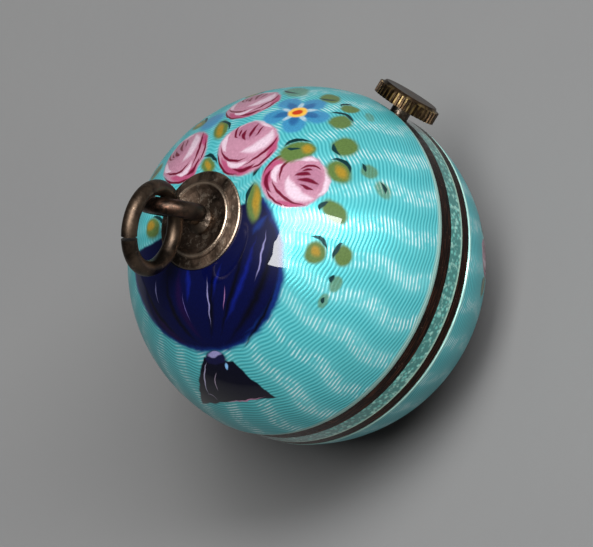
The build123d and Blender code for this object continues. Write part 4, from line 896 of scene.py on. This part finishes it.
def dial_figures():
    """Twelve hour figures and sixty minute marks, facing down."""
    face = dial_low.z - 0.01 * MM
    shape = bmesh.new()
    for hour in range(1, 13):
        shape.from_mesh(hour_figure(hour, face))
    for minute in range(60):
        length, width = (0.55 * MM, 0.07 * MM) if minute % 5 else (0.8 * MM, 0.14 * MM)
        turn = Matrix.Rotation(math.radians(6 * minute), 4, "Z")
        reach = DIAL_RADIUS * MARK_REACH - length / 2
        spot = turn @ Matrix.Translation((reach, 0, face))
        size = Matrix.Diagonal((length, width, 2 * FIGURE_RELIEF, 1))
        bmesh.ops.create_cube(shape, size=1, matrix=spot @ size)
    mesh = bpy.data.meshes.new("dial_figures")
    shape.to_mesh(mesh)
    shape.free()
    mesh.materials.clear()
    mesh.materials.append(black_enamel())
    piece = bpy.data.objects.new("dial_figures", mesh)
    bpy.context.scene.collection.objects.link(piece)
    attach(piece, "case")


dial_figures()


# ==== Floor, light and camera ====
VIEW_AZIMUTH = 11.54
VIEW_ELEVATION = 47.05
VIEW_ROLL = -67.1
VIEW_DISTANCE = 28 * BALL_RADIUS
FRAME_WIDTH = 3.324 * BALL_RADIUS  # at the ball's middle
SENSOR_WIDTH = 36
LEFT_OF_BALL = 0.0577 * BALL_RADIUS
BELOW_BALL = 0.0448 * BALL_RADIUS


def view_axes():
    """The camera's right, up and back, from its azimuth, elevation and roll."""
    azimuth, elevation, roll = (math.radians(a) for a in (VIEW_AZIMUTH, VIEW_ELEVATION, VIEW_ROLL))
    level = Vector((math.cos(azimuth), math.sin(azimuth), 0))
    ahead = Vector((-math.sin(azimuth), math.cos(azimuth), 0))
    back = Vector((0, 0, math.sin(elevation))) - ahead * math.cos(elevation)
    upright = back.cross(level)
    right = level * math.cos(roll) + upright * math.sin(roll)
    return right, back.cross(right), back


RIGHT, UP, BACK = view_axes()


def aimed(right, up, back):
    """Turns an object so that its own X, Y and Z point these ways."""
    return Matrix((right, up, back)).transposed().to_quaternion()


LIGHT_DISTANCE = 0.9


def softbox(name, direction, width, height, radiance, tilt=0.0, tint=(1, 1, 1)):
    """A softbox towards a direction given as shares of the camera's right, up and back, seen from the ball.

    Its width and height are shares of its distance; tilt is its turn about that direction, in degrees."""
    out = (RIGHT * direction[0] + UP * direction[1] + BACK * direction[2]).normalized()
    light = bpy.data.lights.new(name, "AREA")
    light.shape = "RECTANGLE"
    light.size = width * LIGHT_DISTANCE
    light.size_y = height * LIGHT_DISTANCE
    light.energy = radiance * math.pi * light.size * light.size_y
    light.color = tint
    lamp = bpy.data.objects.new(name, light)
    side = UP.cross(out).normalized()
    side = Matrix.Rotation(math.radians(tilt), 3, out) @ side
    lamp.rotation_mode = "QUATERNION"
    lamp.rotation_quaternion = aimed(side, out.cross(side), out)
    lamp.location = CENTRE + out * LIGHT_DISTANCE
    bpy.context.scene.collection.objects.link(lamp)


def floor():
    """A plain pale floor, large enough for its edge to stay out of every view."""
    graph = new_material("pale_floor")
    speck = graph.noise(graph.place(), 60, 4)
    tone = graph.mix(speck, rgb(108, 108, 108), rgb(112, 112, 111))
    material = graph.finish(Base_Color=tone, Roughness=0.75,
                            Normal=graph.bump(graph.noise(graph.place(), 900, 3), 0.01 * MM))
    mesh = bpy.data.meshes.new("floor")
    reach = 120 * BALL_RADIUS
    corners = [(-reach, -reach), (reach, -reach), (reach, reach), (-reach, reach)]
    mesh.from_pydata([(x, y, FLOOR_HEIGHT) for x, y in corners], [], [(0, 1, 2, 3)])
    mesh.materials.append(material)
    plane = bpy.data.objects.new("floor", mesh)
    bpy.context.scene.collection.objects.link(plane)


def camera():
    """A long lens aimed a little left of the ball and below it."""
    lens = bpy.data.cameras.new("photo_camera")
    lens.sensor_width = SENSOR_WIDTH
    lens.lens = SENSOR_WIDTH * VIEW_DISTANCE / FRAME_WIDTH
    lens.clip_start = 0.01
    lens.clip_end = 50
    viewer = bpy.data.objects.new("photo_camera", lens)
    viewer.rotation_mode = "QUATERNION"
    viewer.rotation_quaternion = aimed(RIGHT, UP, BACK)
    viewer.location = CENTRE + BACK * VIEW_DISTANCE - RIGHT * LEFT_OF_BALL - UP * BELOW_BALL
    bpy.context.scene.collection.objects.link(viewer)
    bpy.context.scene.camera = viewer


def sky():
    """A dim even grey, so that no side of the object is black."""
    world = bpy.data.worlds.new("studio")
    world.use_nodes = True
    world.node_tree.nodes["Background"].inputs["Color"].default_value = (0.78, 0.8, 0.84, 1)
    world.node_tree.nodes["Background"].inputs["Strength"].default_value = 0.07
    bpy.context.scene.world = world


floor()
softbox("key_tall", (-0.254, 0.309, 0.916), 0.26, 0.70, 22, tilt=-6)
softbox("key_wide", (0.110, 0.440, 0.885), 0.50, 0.25, 24, tilt=-13, tint=(0.97, 0.98, 1.0))
sky()
camera()
bpy.context.scene.view_settings.view_transform = "Standard"
